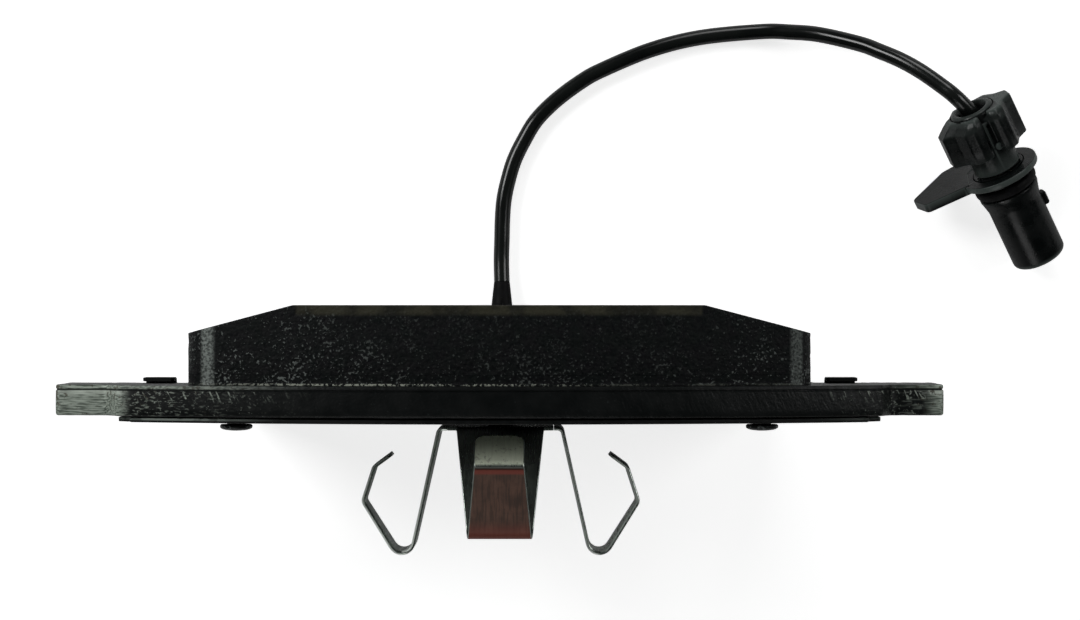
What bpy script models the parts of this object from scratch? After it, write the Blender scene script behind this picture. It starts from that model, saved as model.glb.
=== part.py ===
"""Disc brake pad with a riveted spring clip and a wired wear sensor.

Frame: the origin is the centre of the wear face, +Y points out of that face towards the
disc, +X runs along the pad and +Z points radially outward. The pad stands on the two feet
of its backing plate, and the cable and the plug of the wear sensor lie on the same surface.
Heights are measured up from that surface, because every piece hangs under one empty there.
"""

import math

import bmesh
import bpy
from mathutils import Matrix, Vector

# ---------------------------------------------------------------- driving dimensions, metres
STAND_Z = -0.0371
GAP = 0.0003
ROUND_SIDES = 24

# Backing plate
PLATE_TOP = 0.0742
PLATE_ARC_R = 0.190
PLATE_FRONT_Y = -0.01385
PLATE_BACK_Y = -0.01925
ARCH_TOP = 0.008
ARCH_HALF_SPAN = 0.038
FOOT_X = 0.0520
FOOT_ROUND = 0.002
FLANK_X = 0.0555
FLANK_Z = 0.012
NECK_X = 0.0565
RELIEF_DEPTH = 0.0012
RELIEF_WIDTH = 0.0080
RELIEF_ROUND = 0.0004
EAR_LOW_Z = 0.0430
EAR_TOP_Z = 0.0586
EAR_X = 0.0776
EAR_ROUND = 0.001
SHOULDER_X = 0.0664
SHOULDER_FOOT_X = 0.0683
KEY_HOLE_R = 0.0053
KEY_X = 0.027
KEY_Z = 0.040

# Friction block and underlayer
FRICTION_STEP = 0.0035
FRICTION_X = 0.0543
FRICTION_LOW_X = 0.0505
FRICTION_LOW_Z = 0.0006
FRICTION_ARCH_TOP = 0.011
FRICTION_BACK_Y = -0.01155
FRICTION_ROUND = 0.004
CHAMFER_START_X = 0.0354
CHAMFER_DEPTH = 0.0049
UNDERLAYER_FRONT_Y = FRICTION_BACK_Y - GAP
UNDERLAYER_BACK_Y = PLATE_FRONT_Y + GAP

# Damping shim
SHIM_FRONT_Y = PLATE_BACK_Y - 0.00025
SHIM_THICKNESS = 0.0008
SHIM_INSET = 0.001
SHIM_END_X = 0.0666
HOOK_INNER_X = 0.0580
HOOK_WIDTH = 0.0057
HOOK_THICKNESS = 0.0007
HOOK_RISE = 0.0050
HOOK_SEAT_Z = EAR_LOW_Z + RELIEF_DEPTH - GAP

# Rivets
SHIM_RIVET_X = 0.0455
SHIM_RIVET_Z = 0.0625
SHIM_RIVET_HEAD_R = 0.0028
SHIM_RIVET_HEAD = 0.0011
SHIM_RIVET_SHANK_R = 0.0016
CLIP_RIVET_HEAD_R = 0.0034
CLIP_RIVET_HEAD = 0.0014
CLIP_RIVET_SHANK_R = 0.0023
CLIP_RIVET_SHOULDER_R = 0.0045

# Spring clip
CLIP_Z = 0.038
STRIP = 0.0007
CLIP_STANDOFF = 0.0011
CLIP_Y = SHIM_FRONT_Y - SHIM_THICKNESS - CLIP_STANDOFF - GAP - STRIP / 2
CLIP_HALF_WIDTH = 0.0079
CLIP_ARM = 0.0095
CLIP_TAIL = 0.0085
FINGER_BEND_HALF_WIDTH = 0.0057
FINGER_TIP_HALF_WIDTH = 0.00435
FINGER_ROOT = CLIP_ARM + GAP

# Wear sensor
SENSOR_X = -0.0003
POCKET_HALF_WIDTH = 0.0053
POCKET_TOP = 0.0193
POCKET_FRONT_Y = -0.0094
TIP_FRONT_Y = POCKET_FRONT_Y - GAP
TIP_DEPTH = 0.0026
TIP_HALF_WIDTH = 0.0035
TIP_LOW_Z = 0.0075
SLOT_HALF_WIDTH = 0.00075
SLOT_DEPTH = 0.0021
LOOP_R = 0.00045
NOSE_LOW_Z = 0.0003
NOSE_HALF_WIDTH = 0.0032
NOSE_TOP_Z = 0.0055

# Cable and its strain relief
CABLE_R = 0.0015
RELIEF_START = Vector((SENSOR_X, -0.0094, 0.0028))
RELIEF_END = Vector((SENSOR_X, 0.0043, 0.0020))
RELIEF_ROOT_R = 0.0024
RELIEF_EDGE_R = 0.0020
RELIEF_TIP_R = 0.0016
CABLE_STEP = 0.006

# Plug: a frame with Z along the barrel to its tip, X to the right and Y up
PLUG_CENTRE = Vector((0.0943, 0.0262, 0.0117))
PLUG_HEADING = math.radians(-61.6)
PLUG_TILT = math.radians(20.0)
BARREL_R = 0.0052
BARREL_END = 0.0203
BARREL_BORE_R = 0.0039
BARREL_START = -0.0001
JOURNAL_R = 0.0050
SHOULDER_START = 0.00155
SHOULDER_R = 0.0057
GROOVE_START = 0.0020
GROOVE_END = 0.0045
GROOVE_R = 0.0047
FLARE_R = 0.0058
FLARE_END = 0.0052
TAPER_END = 0.0075
LUG_START = 0.0083
LUG_END = 0.0110
LUG_HALF_WIDTH = 0.001
LUG_RISE = 0.0009
SEAL_R = 0.0061
SEAL_ROUND = 0.0005
RING_R = 0.0075
RING_BORE_R = 0.00525
RING_THICKNESS = 0.0012
LEVER_THICKNESS = 0.00175
HOUSING_R = 0.0045
HOUSING_END = -0.0112
HOUSING_BORE_R = 0.0026
COLLAR_R = 0.0044
COLLAR_END = -0.0134
MOUTH_R = 0.0027
CABLE_SEAT = -0.0118
CABLE_APPROACH = Vector((-0.0016, 0, CABLE_SEAT - 0.0048))
CONTACT_X = 0.0015
CORE_X = 0.00105
CORE_R = 0.0005

# The cable's route from the strain relief to the plug: x, y and height of its centre line
CABLE_ROUTE = (
    (-0.0003, 0.0046, 0.0020),
    (-0.0004, 0.0088, 0.0016),
    (-0.0003, 0.0127, 0.0016),
    (-0.0002, 0.0166, 0.0016),
    (0.0001, 0.0205, 0.0016),
    (0.0009, 0.0243, 0.0016),
    (0.0021, 0.0282, 0.0016),
    (0.0040, 0.0321, 0.0016),
    (0.0064, 0.0360, 0.0016),
    (0.0102, 0.0398, 0.0016),
    (0.0149, 0.0433, 0.0016),
    (0.0190, 0.0456, 0.0016),
    (0.0284, 0.0495, 0.0016),
    (0.0380, 0.0519, 0.0017),
    (0.0497, 0.0530, 0.0024),
    (0.0552, 0.0528, 0.0037),
    (0.0609, 0.0521, 0.0056),
    (0.0682, 0.0500, 0.0092),
    (0.0718, 0.0484, 0.0113),
    (0.0756, 0.0465, 0.0134),
    (0.0792, 0.0442, 0.0152),
    (0.0831, 0.0412, 0.0167),
)


# ---------------------------------------------------------------- general helpers
def clear_scene():
    """Remove every object that the file opened with."""
    for item in list(bpy.data.objects):
        bpy.data.objects.remove(item, do_unlink=True)


def material(name, colour, roughness, metallic=0.0):
    """A plain Principled material."""
    made = bpy.data.materials.new(name)
    made.use_nodes = True
    shader = made.node_tree.nodes["Principled BSDF"]
    shader.inputs["Base Color"].default_value = (*colour, 1.0)
    shader.inputs["Roughness"].default_value = roughness
    shader.inputs["Metallic"].default_value = metallic
    return made


def empty(name, parent=None, matrix=None):
    """An empty that carries other pieces."""
    made = bpy.data.objects.new(name, None)
    bpy.context.collection.objects.link(made)
    made.parent = parent
    made.matrix_local = matrix or Matrix.Identity(4)
    return made


def add_piece(name, shape, mat, parent, place=(0, 0, 0)):
    """Turn a bmesh into a named object under parent, with its faces pointing out."""
    bmesh.ops.recalc_face_normals(shape, faces=shape.faces)
    mesh = bpy.data.meshes.new(name)
    shape.to_mesh(mesh)
    shape.free()
    mesh.materials.append(mat)
    mesh.shade_smooth()
    mesh.set_sharp_from_angle(angle=math.radians(35))
    made = bpy.data.objects.new(name, mesh)
    bpy.context.collection.objects.link(made)
    made.parent = parent
    made.location = place
    return made


def boolean(target, tool, operation):
    """Cut the tool out of the target, or join it on, and leave the tool as a guide."""
    tool.hide_render = True
    tool.display_type = "WIRE"
    step = target.modifiers.new(tool.name, "BOOLEAN")
    step.operation = operation
    step.solver = "EXACT"
    step.object = tool


def loft(rings, closed=False):
    """Skin rings of equally many points; the ends are capped unless the loft closes."""
    shape = bmesh.new()
    rows = [[shape.verts.new(point) for point in ring] for ring in rings]
    count = len(rows[0])
    pairs = list(zip(rows, rows[1:]))
    if closed:
        pairs.append((rows[-1], rows[0]))
    for low, high in pairs:
        for i in range(count):
            j = (i + 1) % count
            shape.faces.new((low[i], low[j], high[j], high[i]))
    if not closed:
        shape.faces.new(rows[0])
        shape.faces.new(rows[-1])
    return shape


def slab(outline, front, back):
    """A plate with an outline in X and Z, between two values of Y."""
    return loft([[(x, y, z) for x, z in outline] for y in (front, back)])


def disc_stack(outline, low, high):
    """A plate with an outline in X and Y, between two values of Z."""
    return loft([[(x, y, z) for x, y in outline] for z in (low, high)])


def circle(radius, centre=(0.0, 0.0), sides=ROUND_SIDES):
    """Points round a circle."""
    turns = [2 * math.pi * i / sides for i in range(sides)]
    return [(centre[0] + radius * math.cos(t), centre[1] + radius * math.sin(t)) for t in turns]


def turned(profile, sides=ROUND_SIDES, closed=False):
    """Turn a profile of (radius, z) points round Z; a closed profile makes a tube."""
    return loft([[(x, y, z) for x, y in circle(r, sides=sides)] for r, z in profile], closed)


def block(low, high):
    """A box between two corners."""
    shape = bmesh.new()
    bmesh.ops.create_cube(shape, size=1.0)
    size = Vector(high) - Vector(low)
    middle = (Vector(high) + Vector(low)) / 2
    bmesh.ops.scale(shape, vec=size, verts=shape.verts)
    bmesh.ops.translate(shape, vec=middle, verts=shape.verts)
    return shape


def along_y(shape):
    """Turn a shape made along Z so that it runs towards -Y."""
    bmesh.ops.rotate(shape, cent=(0, 0, 0), matrix=Matrix.Rotation(math.pi / 2, 3, "X"), verts=shape.verts)
    return shape


def edge_arc(from_x, to_x, top, radius, count):
    """Points on an arc that crowns at x = 0 and height top."""
    xs = [from_x + (to_x - from_x) * i / (count - 1) for i in range(count)]
    return [(x, top - radius + math.sqrt(radius * radius - x * x), 0.0) for x in xs]


def arc_radius(half_span, rise):
    """Radius of the arc that rises by rise over half_span."""
    return (half_span**2 + rise**2) / (2 * rise)


def mirrored(half):
    """Close a right half, given from bottom centre to top centre, into a whole outline."""
    left = [(-x, z, r) for x, z, r in reversed(half) if x > 1e-6]
    return half + left


def rounded(corners, closed=True, steps=4):
    """Replace each corner (a, b, radius) by an arc that touches both its sides."""
    points = []
    last = len(corners) - 1
    for i, (a, b, radius) in enumerate(corners):
        here = Vector((a, b))
        if radius == 0 or (not closed and i in (0, last)):
            points.append((a, b))
            continue
        before = (Vector(corners[i - 1][:2]) - here).normalized()
        after = (Vector(corners[(i + 1) % len(corners)][:2]) - here).normalized()
        half = before.angle(after) / 2
        centre = here + (before + after).normalized() * radius / math.sin(half)
        start = here + before * radius / math.tan(half) - centre
        sweep = (here + after * radius / math.tan(half) - centre).angle_signed(start)
        for k in range(steps + 1):
            spun = start.copy()
            spun.rotate(Matrix.Rotation(sweep * k / steps, 2))
            points.append(tuple(centre + spun))
    return points


# ---------------------------------------------------------------- outlines
def plate_outline():
    """Hammerhead plate: arched foot, waisted neck, square ears and a crowned outer edge."""
    half = edge_arc(0, ARCH_HALF_SPAN, ARCH_TOP, arc_radius(ARCH_HALF_SPAN, ARCH_TOP), 9)
    half += [
        (FOOT_X, 0, FOOT_ROUND),
        (FLANK_X, FLANK_Z, 3 * FOOT_ROUND),
        (NECK_X, EAR_LOW_Z + RELIEF_DEPTH, RELIEF_ROUND),
        (NECK_X + RELIEF_WIDTH, EAR_LOW_Z + RELIEF_DEPTH, RELIEF_ROUND),
        (NECK_X + RELIEF_WIDTH, EAR_LOW_Z, 0),
        (EAR_X, EAR_LOW_Z, EAR_ROUND),
        (EAR_X, EAR_TOP_Z, EAR_ROUND),
        (SHOULDER_FOOT_X, EAR_TOP_Z, 2 * EAR_ROUND),
    ]
    half += edge_arc(SHOULDER_X, 0, PLATE_TOP, PLATE_ARC_R, 15)
    return rounded(mirrored(half))


def friction_outline():
    """Friction block: concave inner edge, crowned outer edge and rounded outer corners."""
    radius = PLATE_ARC_R - FRICTION_STEP
    top = PLATE_TOP - FRICTION_STEP
    corner_z = edge_arc(FRICTION_X, FRICTION_X, top, radius, 2)[0][1]
    rise = FRICTION_ARCH_TOP - FRICTION_LOW_Z
    half = edge_arc(0, FRICTION_LOW_X - 0.003, FRICTION_ARCH_TOP, arc_radius(FRICTION_LOW_X, rise), 9)
    half += [
        (FRICTION_LOW_X, FRICTION_LOW_Z, FRICTION_ROUND / 3),
        (FRICTION_X, corner_z * 0.6, 0),
        (FRICTION_X, corner_z, FRICTION_ROUND),
    ]
    half += edge_arc(FRICTION_X - FRICTION_ROUND * 1.3, 0, top, radius, 13)
    return rounded(mirrored(half))


def shim_outline():
    """Shim: the plate's shape, drawn in a little and cut short on the ears."""
    inset = SHIM_INSET
    arch = edge_arc(0, ARCH_HALF_SPAN - inset, ARCH_TOP + inset, arc_radius(ARCH_HALF_SPAN, ARCH_TOP), 7)
    half = arch + [
        (FOOT_X - inset, inset, FOOT_ROUND),
        (FLANK_X - inset, FLANK_Z, 3 * FOOT_ROUND),
        (NECK_X - inset, EAR_LOW_Z + 2 * inset, FOOT_ROUND / 4),
        (HOOK_INNER_X, EAR_LOW_Z + 2 * inset, 0),
        (HOOK_INNER_X, HOOK_SEAT_Z, 0),
        (HOOK_INNER_X + HOOK_WIDTH, HOOK_SEAT_Z, 0),
        (HOOK_INNER_X + HOOK_WIDTH, EAR_LOW_Z + 2 * inset, 0),
        (SHIM_END_X, EAR_LOW_Z + 2 * inset, FOOT_ROUND / 2),
        (SHIM_END_X, EAR_TOP_Z - inset, FOOT_ROUND / 4),
        (SHOULDER_X - 2 * inset, EAR_TOP_Z + inset, FOOT_ROUND / 4),
    ]
    half += edge_arc(SHOULDER_X - 2.5 * inset, 0, PLATE_TOP - inset, PLATE_ARC_R - inset, 11)
    return rounded(mirrored(half), steps=3)


# ---------------------------------------------------------------- pad
def sensor_pocket(stand):
    """Guide that opens the pocket of the wear sensor in plate, underlayer and friction."""
    low = (SENSOR_X - POCKET_HALF_WIDTH, PLATE_BACK_Y - 0.002, -0.002)
    high = (SENSOR_X + POCKET_HALF_WIDTH, POCKET_FRONT_Y, POCKET_TOP)
    return add_piece("pocket_guide", block(low, high), GUIDE, stand)


def hole_guide(name, radius, x, z, stand):
    """Guide for a round hole along Y through the plate and the shim."""
    length = 0.012
    shape = along_y(turned([(radius, 0), (radius, length)]))
    return add_piece(name, shape, GUIDE, stand, (x, PLATE_FRONT_Y + 0.002, z))


def backing_plate(stand, pocket, holes):
    """Pressed steel plate."""
    shape = slab(plate_outline(), PLATE_FRONT_Y, PLATE_BACK_Y)
    plate = add_piece("backing_plate", shape, STEEL_BLACK, stand)
    boolean(plate, pocket, "DIFFERENCE")
    for hole in holes:
        boolean(plate, hole, "DIFFERENCE")
    return plate


def friction_block(stand, pocket):
    """Moulded friction material, chamfered at both ends of the wear face."""
    shape = slab(friction_outline(), 0, FRICTION_BACK_Y)
    for side in (-1, 1):
        start = Vector((side * CHAMFER_START_X, 0, 0))
        run = FRICTION_X - CHAMFER_START_X
        normal = Vector((side * CHAMFER_DEPTH, run, 0)).normalized()
        every = shape.verts[:] + shape.edges[:] + shape.faces[:]
        cut = bmesh.ops.bisect_plane(shape, geom=every, plane_co=start, plane_no=normal, clear_outer=True)
        rim = [item for item in cut["geom_cut"] if isinstance(item, bmesh.types.BMEdge)]
        bmesh.ops.edgeloop_fill(shape, edges=rim)
    made = add_piece("friction_block", shape, FRICTION, stand)
    boolean(made, pocket, "DIFFERENCE")
    return made


def underlayer(stand, pocket):
    """Bond layer behind the friction block, keyed into two holes of the plate."""
    shape = slab(friction_outline(), UNDERLAYER_FRONT_Y, UNDERLAYER_BACK_Y)
    made = add_piece("underlayer", shape, UNDERLAYER, stand)
    boolean(made, pocket, "DIFFERENCE")
    for side in (-1, 1):
        start = UNDERLAYER_BACK_Y + 0.0005
        length = start - PLATE_BACK_Y - GAP
        key = along_y(turned([(KEY_HOLE_R - GAP, 0), (KEY_HOLE_R - GAP, length)]))
        guide = add_piece(f"key_guide_{side}", key, GUIDE, stand, (side * KEY_X, start, KEY_Z))
        boolean(made, guide, "UNION")
    return made


def damping_shim(stand, holes):
    """Thin damping sheet on the plate's back, hooked under both ears."""
    back = SHIM_FRONT_Y - SHIM_THICKNESS
    shim = add_piece("damping_shim", slab(shim_outline(), SHIM_FRONT_Y, back), SHIM, stand)
    middle = (SHIM_FRONT_Y + back) / 2
    under = HOOK_SEAT_Z - HOOK_THICKNESS / 2
    front = PLATE_FRONT_Y + GAP + HOOK_THICKNESS / 2
    bend = HOOK_THICKNESS * 0.8
    path = [
        (middle, HOOK_SEAT_Z + HOOK_THICKNESS, 0),
        (middle, under, bend),
        (front, under, bend),
        (front, under + HOOK_RISE, 0),
    ]
    for side, label in ((-1, "left"), (1, "right")):
        low = side * (HOOK_INNER_X + HOOK_WIDTH / 2)
        widths = [HOOK_WIDTH / 2 - 0.0001] * len(rounded(path, closed=False))
        hook = strip(rounded(path, closed=False), widths, HOOK_THICKNESS, upright=True)
        guide = add_piece(f"hook_guide_{label}", hook, GUIDE, stand, (low, 0, 0))
        boolean(shim, guide, "UNION")
    for hole in holes:
        boolean(shim, hole, "DIFFERENCE")
    return shim


def rivet(name, head_r, head, shank_r, seat_y, end_y, stand, x, z, shoulder=()):
    """Domed rivet along Y: its head sits at seat_y and its shank ends at end_y. A shoulder,
    given as (radius, front y, back y), holds the next piece off."""
    profile = [(shank_r, end_y)]
    if shoulder:
        radius, front, back = shoulder
        profile += [(shank_r, front), (radius, front), (radius, back), (shank_r, back)]
    profile += [
        (shank_r, seat_y - GAP),
        (head_r, seat_y - GAP),
        (head_r * 0.94, seat_y - GAP - head * 0.45),
        (head_r * 0.62, seat_y - GAP - head * 0.9),
        (head_r * 0.2, seat_y - GAP - head),
    ]
    shape = along_y(turned([(r, -y) for r, y in profile]))
    return add_piece(name, shape, RIVET, stand, (x, 0, z))


# ---------------------------------------------------------------- spring clip
def strip(path, half_widths, thickness, upright=False):
    """Bend a flat strip along a path: (x, y) points, or (y, z) points when upright."""
    rings = []
    for i, point in enumerate(path):
        before = Vector(path[max(i - 1, 0)])
        after = Vector(path[min(i + 1, len(path) - 1)])
        side = (after - before).normalized().orthogonal() * thickness / 2
        inner = Vector(point) - side
        outer = Vector(point) + side
        w = half_widths[i]
        flat = [(inner, -w), (outer, -w), (outer, w), (inner, w)]
        if upright:
            rings.append([(across, p.x, p.y) for p, across in flat])
        else:
            rings.append([(p.x, p.y, across) for p, across in flat])
    return loft(rings)


def finger_widths(path, bend_index):
    """Half widths that taper from root to bend to tip, and round the tip's corners."""
    reach = [0.0]
    for a, b in zip(path, path[1:]):
        reach.append(reach[-1] + (Vector(b) - Vector(a)).length)
    widths = []
    for i, run in enumerate(reach):
        if i <= bend_index:
            part = run / reach[bend_index]
            width = CLIP_HALF_WIDTH + (FINGER_BEND_HALF_WIDTH - CLIP_HALF_WIDTH) * part
        else:
            part = (run - reach[bend_index]) / (reach[-1] - reach[bend_index])
            width = FINGER_BEND_HALF_WIDTH + (FINGER_TIP_HALF_WIDTH - FINGER_BEND_HALF_WIDTH) * part
        widths.append(width)
    widths[-1] -= STRIP * 1.6
    widths[-2] -= STRIP * 0.4
    return widths


def side_finger_path():
    """Path of a side finger from its root: down the leg, round the bend and up to the tip."""
    return rounded(
        [
            (FINGER_ROOT, CLIP_Y, 0),
            (0.0110, CLIP_Y, 0.0010),
            (0.0168, -0.0480, 0.0022),
            (0.0248, -0.0353, 0.0012),
            (0.0228, -0.0291, 0.001),
            (0.0202, -0.0272, 0),
            (0.0197, -0.0268, 0),
        ],
        closed=False,
        steps=5,
    )


def top_finger_path():
    """Path of the top finger in Y and Z, with Z counted from the middle of the clip."""
    return rounded(
        [
            (CLIP_Y, FINGER_ROOT, 0),
            (CLIP_Y, 0.0110, 0.0010),
            (-0.04485, 0.0172, 0.0021),
            (-0.0277, 0.0248, 0.0012),
            (-0.0236, 0.0207, 0),
            (-0.0230, 0.0202, 0),
        ],
        closed=False,
        steps=5,
    )


def bend_of(path, axis):
    """Index of the point furthest out along -Y, where the strip turns back."""
    return min(range(len(path)), key=lambda i: path[i][axis])


def clip_base(stand, hole):
    """Flat cross of the spring clip, riveted to the pad."""
    w = CLIP_HALF_WIDTH
    corners = [
        (w, -CLIP_TAIL, 0.002),
        (w, -w, 0),
        (CLIP_ARM, -w, 0),
        (CLIP_ARM, w, 0),
        (w, w, 0),
        (w, CLIP_ARM, 0),
        (-w, CLIP_ARM, 0),
        (-w, w, 0),
        (-CLIP_ARM, w, 0),
        (-CLIP_ARM, -w, 0),
        (-w, -w, 0),
        (-w, -CLIP_TAIL, 0.002),
    ]
    outline = [(x, z + CLIP_Z) for x, z in rounded(corners, steps=3)]
    made = add_piece("clip_base", slab(outline, CLIP_Y + STRIP / 2, CLIP_Y - STRIP / 2), SPRING, stand)
    boolean(made, hole, "DIFFERENCE")
    return made


def clip_fingers(stand):
    """Three sprung fingers; each has its origin on its bend at the clip's base."""
    path = side_finger_path()
    widths = finger_widths(path, bend_of(path, 1))
    for side, label in ((-1, "left"), (1, "right")):
        shape = strip([(side * x, y) for x, y in path], widths, STRIP)
        pivot = Vector((side * (CLIP_ARM + GAP / 2), CLIP_Y, 0))
        bmesh.ops.translate(shape, vec=-pivot, verts=shape.verts)
        add_piece(f"finger_{label}", shape, SPRING, stand, pivot + Vector((0, 0, CLIP_Z)))
    path = top_finger_path()
    shape = strip(path, finger_widths(path, bend_of(path, 0)), STRIP, upright=True)
    pivot = Vector((0, CLIP_Y, CLIP_ARM + GAP / 2))
    bmesh.ops.translate(shape, vec=-pivot, verts=shape.verts)
    add_piece("finger_top", shape, SPRING, stand, pivot + Vector((0, 0, CLIP_Z)))


# ---------------------------------------------------------------- wear sensor
def sensor_body(stand):
    """Moulded body in the plate's notch, with a nose that the cable leaves from."""
    front = TIP_FRONT_Y - TIP_DEPTH - GAP
    back = PLATE_BACK_Y + GAP
    half = POCKET_HALF_WIDTH - GAP
    rings = []
    for z, y0, y1, w in (
        (NOSE_LOW_Z, RELIEF_START.y - GAP, -0.0160, NOSE_HALF_WIDTH),
        (NOSE_TOP_Z, RELIEF_START.y - GAP, -0.0160, NOSE_HALF_WIDTH),
        (NOSE_TOP_Z + 0.0015, front, back, half),
        (POCKET_TOP - GAP, front, back, half),
    ):
        rings.append([(SENSOR_X + sx, y, z) for sx, y in ((-w, y0), (w, y0), (w, y1), (-w, y1))])
    return add_piece("sensor_body", loft(rings), PLASTIC, stand)


def sensor_tip(stand):
    """Contact block that the disc reaches first when the friction is worn down."""
    back = TIP_FRONT_Y - TIP_DEPTH
    w = TIP_HALF_WIDTH
    s = SLOT_HALF_WIDTH
    floor = TIP_FRONT_Y - SLOT_DEPTH
    outline = [(-w, back), (w, back), (w, TIP_FRONT_Y), (s, TIP_FRONT_Y)]
    outline += [(s, floor), (-s, floor), (-s, TIP_FRONT_Y), (-w, TIP_FRONT_Y)]
    shape = disc_stack([(x + SENSOR_X, y) for x, y in outline], TIP_LOW_Z, POCKET_TOP - GAP)
    return add_piece("sensor_tip", shape, SENSOR_TIP, stand)


def sensor_loop(stand):
    """Wire loop in the slot of the contact block; the worn pad's disc cuts it."""
    inset = 0.0015
    deep = TIP_FRONT_Y - SLOT_DEPTH + LOOP_R + GAP
    near = TIP_FRONT_Y - LOOP_R - GAP
    low = TIP_LOW_Z + inset
    high = POCKET_TOP - GAP - inset
    corners = [(deep, low, 0), (near, low, LOOP_R), (near, high, LOOP_R), (deep, high, 0)]
    path = rounded(corners, closed=False, steps=3)
    rings = []
    for i, (y, z) in enumerate(path):
        before = Vector(path[max(i - 1, 0)])
        after = Vector(path[min(i + 1, len(path) - 1)])
        side = (after - before).normalized().orthogonal()
        ring = []
        for across, out in circle(LOOP_R, sides=8):
            ring.append((SENSOR_X + across, y + side.x * out, z + side.y * out))
        rings.append(ring)
    return add_piece("sensor_loop", loft(rings), COPPER, stand)


def strain_relief(stand):
    """Tapered rubber sleeve from the sensor's nose to the free cable."""
    run = RELIEF_END - RELIEF_START
    length = run.length
    edge = length * 0.69
    profile = [(RELIEF_ROOT_R, 0), (RELIEF_EDGE_R, edge), (RELIEF_TIP_R, length)]
    shape = turned(profile, sides=16)
    made = add_piece("strain_relief", shape, RUBBER, stand, RELIEF_START)
    made.rotation_mode = "QUATERNION"
    made.rotation_quaternion = run.to_track_quat("Z", "X")
    return made


# ---------------------------------------------------------------- cable
def smooth_route(points, step):
    """Points every step along a Catmull-Rom curve through the route."""
    ends = [points[0] * 2 - points[1], *points, points[-1] * 2 - points[-2]]
    fine = []
    for a, b, c, d in zip(ends, ends[1:], ends[2:], ends[3:]):
        for k in range(16):
            t = k / 16
            curve = b * 2 + (c - a) * t + (a * 2 - b * 5 + c * 4 - d) * t**2 + (b * 3 - a - c * 3 + d) * t**3
            fine.append(curve / 2)
    fine.append(points[-1])
    total = sum((q - p).length for p, q in zip(fine, fine[1:]))
    spans = round(total / step)
    picked = [fine[0]]
    walked = 0.0
    for p, q in zip(fine, fine[1:]):
        walked += (q - p).length
        if walked >= len(picked) * total / spans and len(picked) < spans:
            picked.append(q)
    picked.append(fine[-1])
    return picked


def sensor_cable(stand, plug_matrix):
    """Round cable that lies on the surface and rises into the back of the plug."""
    seat = plug_matrix @ Vector((0, 0, CABLE_SEAT))
    approach = plug_matrix @ CABLE_APPROACH
    points = [Vector(p) for p in CABLE_ROUTE] + [approach, seat]
    curve = bpy.data.curves.new("sensor_cable", "CURVE")
    curve.dimensions = "3D"
    curve.bevel_depth = CABLE_R
    curve.bevel_resolution = 2
    curve.use_fill_caps = True
    route = smooth_route(points, CABLE_STEP)
    spline = curve.splines.new("POLY")
    spline.points.add(len(route) - 1)
    for target, point in zip(spline.points, route):
        target.co = (*point, 1.0)
    curve.materials.append(CABLE)
    made = bpy.data.objects.new("sensor_cable", curve)
    bpy.context.collection.objects.link(made)
    made.parent = stand
    return made


# ---------------------------------------------------------------- plug
def plug_frame():
    """Matrix of the plug's frame above the surface it lies on."""
    flat = Vector((math.cos(PLUG_HEADING), math.sin(PLUG_HEADING), 0))
    z = flat * math.cos(PLUG_TILT) + Vector((0, 0, -math.sin(PLUG_TILT)))
    x = Vector((-flat.y, flat.x, 0))
    y = z.cross(x)
    turn = Matrix((x, y, z)).transposed()
    return Matrix.Translation(PLUG_CENTRE) @ turn.to_4x4()


def plug_barrel(plug):
    """Front shell: journal for the lock ring, groove for the seal, then the plain barrel."""
    profile = [
        (BARREL_BORE_R, BARREL_START),
        (JOURNAL_R, BARREL_START),
        (JOURNAL_R, SHOULDER_START),
        (SHOULDER_R, SHOULDER_START),
        (SHOULDER_R, GROOVE_START),
        (GROOVE_R, GROOVE_START),
        (GROOVE_R, GROOVE_END),
        (FLARE_R, GROOVE_END),
        (FLARE_R, FLARE_END),
        (BARREL_R, TAPER_END),
        (BARREL_R, BARREL_END - 0.001),
        (BARREL_R - 0.0003, BARREL_END - 0.0003),
        (BARREL_R - 0.0008, BARREL_END),
        (BARREL_BORE_R, BARREL_END),
    ]
    made = add_piece("plug_barrel", turned(profile, closed=True), PLASTIC, plug)
    low = (BARREL_R - LUG_RISE, -LUG_HALF_WIDTH, LUG_START)
    high = (BARREL_R + LUG_RISE, LUG_HALF_WIDTH, LUG_END)
    guide = add_piece("lug_guide", block(low, high), GUIDE, plug)
    boolean(made, guide, "UNION")
    return made


def plug_housing(plug):
    """Rear housing: round core with two ribs on top and a flat wing on each side."""
    half = [
        (0.0, -0.0056, 0),
        (0.0040, -0.0056, 0.001),
        (0.0058, -0.0030, 0.001),
        (0.0077, -0.0018, 0.0005),
        (0.0077, 0.0014, 0.0005),
        (0.0062, 0.0024, 0.0008),
        (0.0047, 0.0060, 0.0012),
        (0.0013, 0.0060, 0.0005),
        (0.0010, 0.0052, 0),
        (0.0, 0.0052, 0),
    ]
    outline = rounded(mirrored(half), steps=3)
    rings = []
    for z, scale in ((-0.0044, 1.0), (-0.0098, 1.0), (-0.0110, 0.78)):
        rings.append([(x * scale, y * (1 + scale) / 2, z) for x, y in outline])
    made = add_piece("plug_housing", loft(rings), PLASTIC, plug)
    core = add_piece("core_guide", turned([(HOUSING_R, -0.0004), (HOUSING_R, HOUSING_END)]), GUIDE, plug)
    boolean(made, core, "UNION")
    bore = add_piece("bore_guide", turned([(HOUSING_BORE_R, 0.002), (HOUSING_BORE_R, -0.014)]), GUIDE, plug)
    boolean(made, bore, "DIFFERENCE")
    return made


def plug_collar(plug):
    """Round end cap with the mouth that the cable enters."""
    start = HOUSING_END - GAP
    profile = [
        (COLLAR_R, start),
        (COLLAR_R, COLLAR_END + 0.0005),
        (COLLAR_R - 0.0005, COLLAR_END),
        (MOUTH_R, COLLAR_END),
        (MOUTH_R - 0.0005, start),
    ]
    return add_piece("plug_collar", turned(profile, closed=True), PLASTIC, plug)


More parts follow.
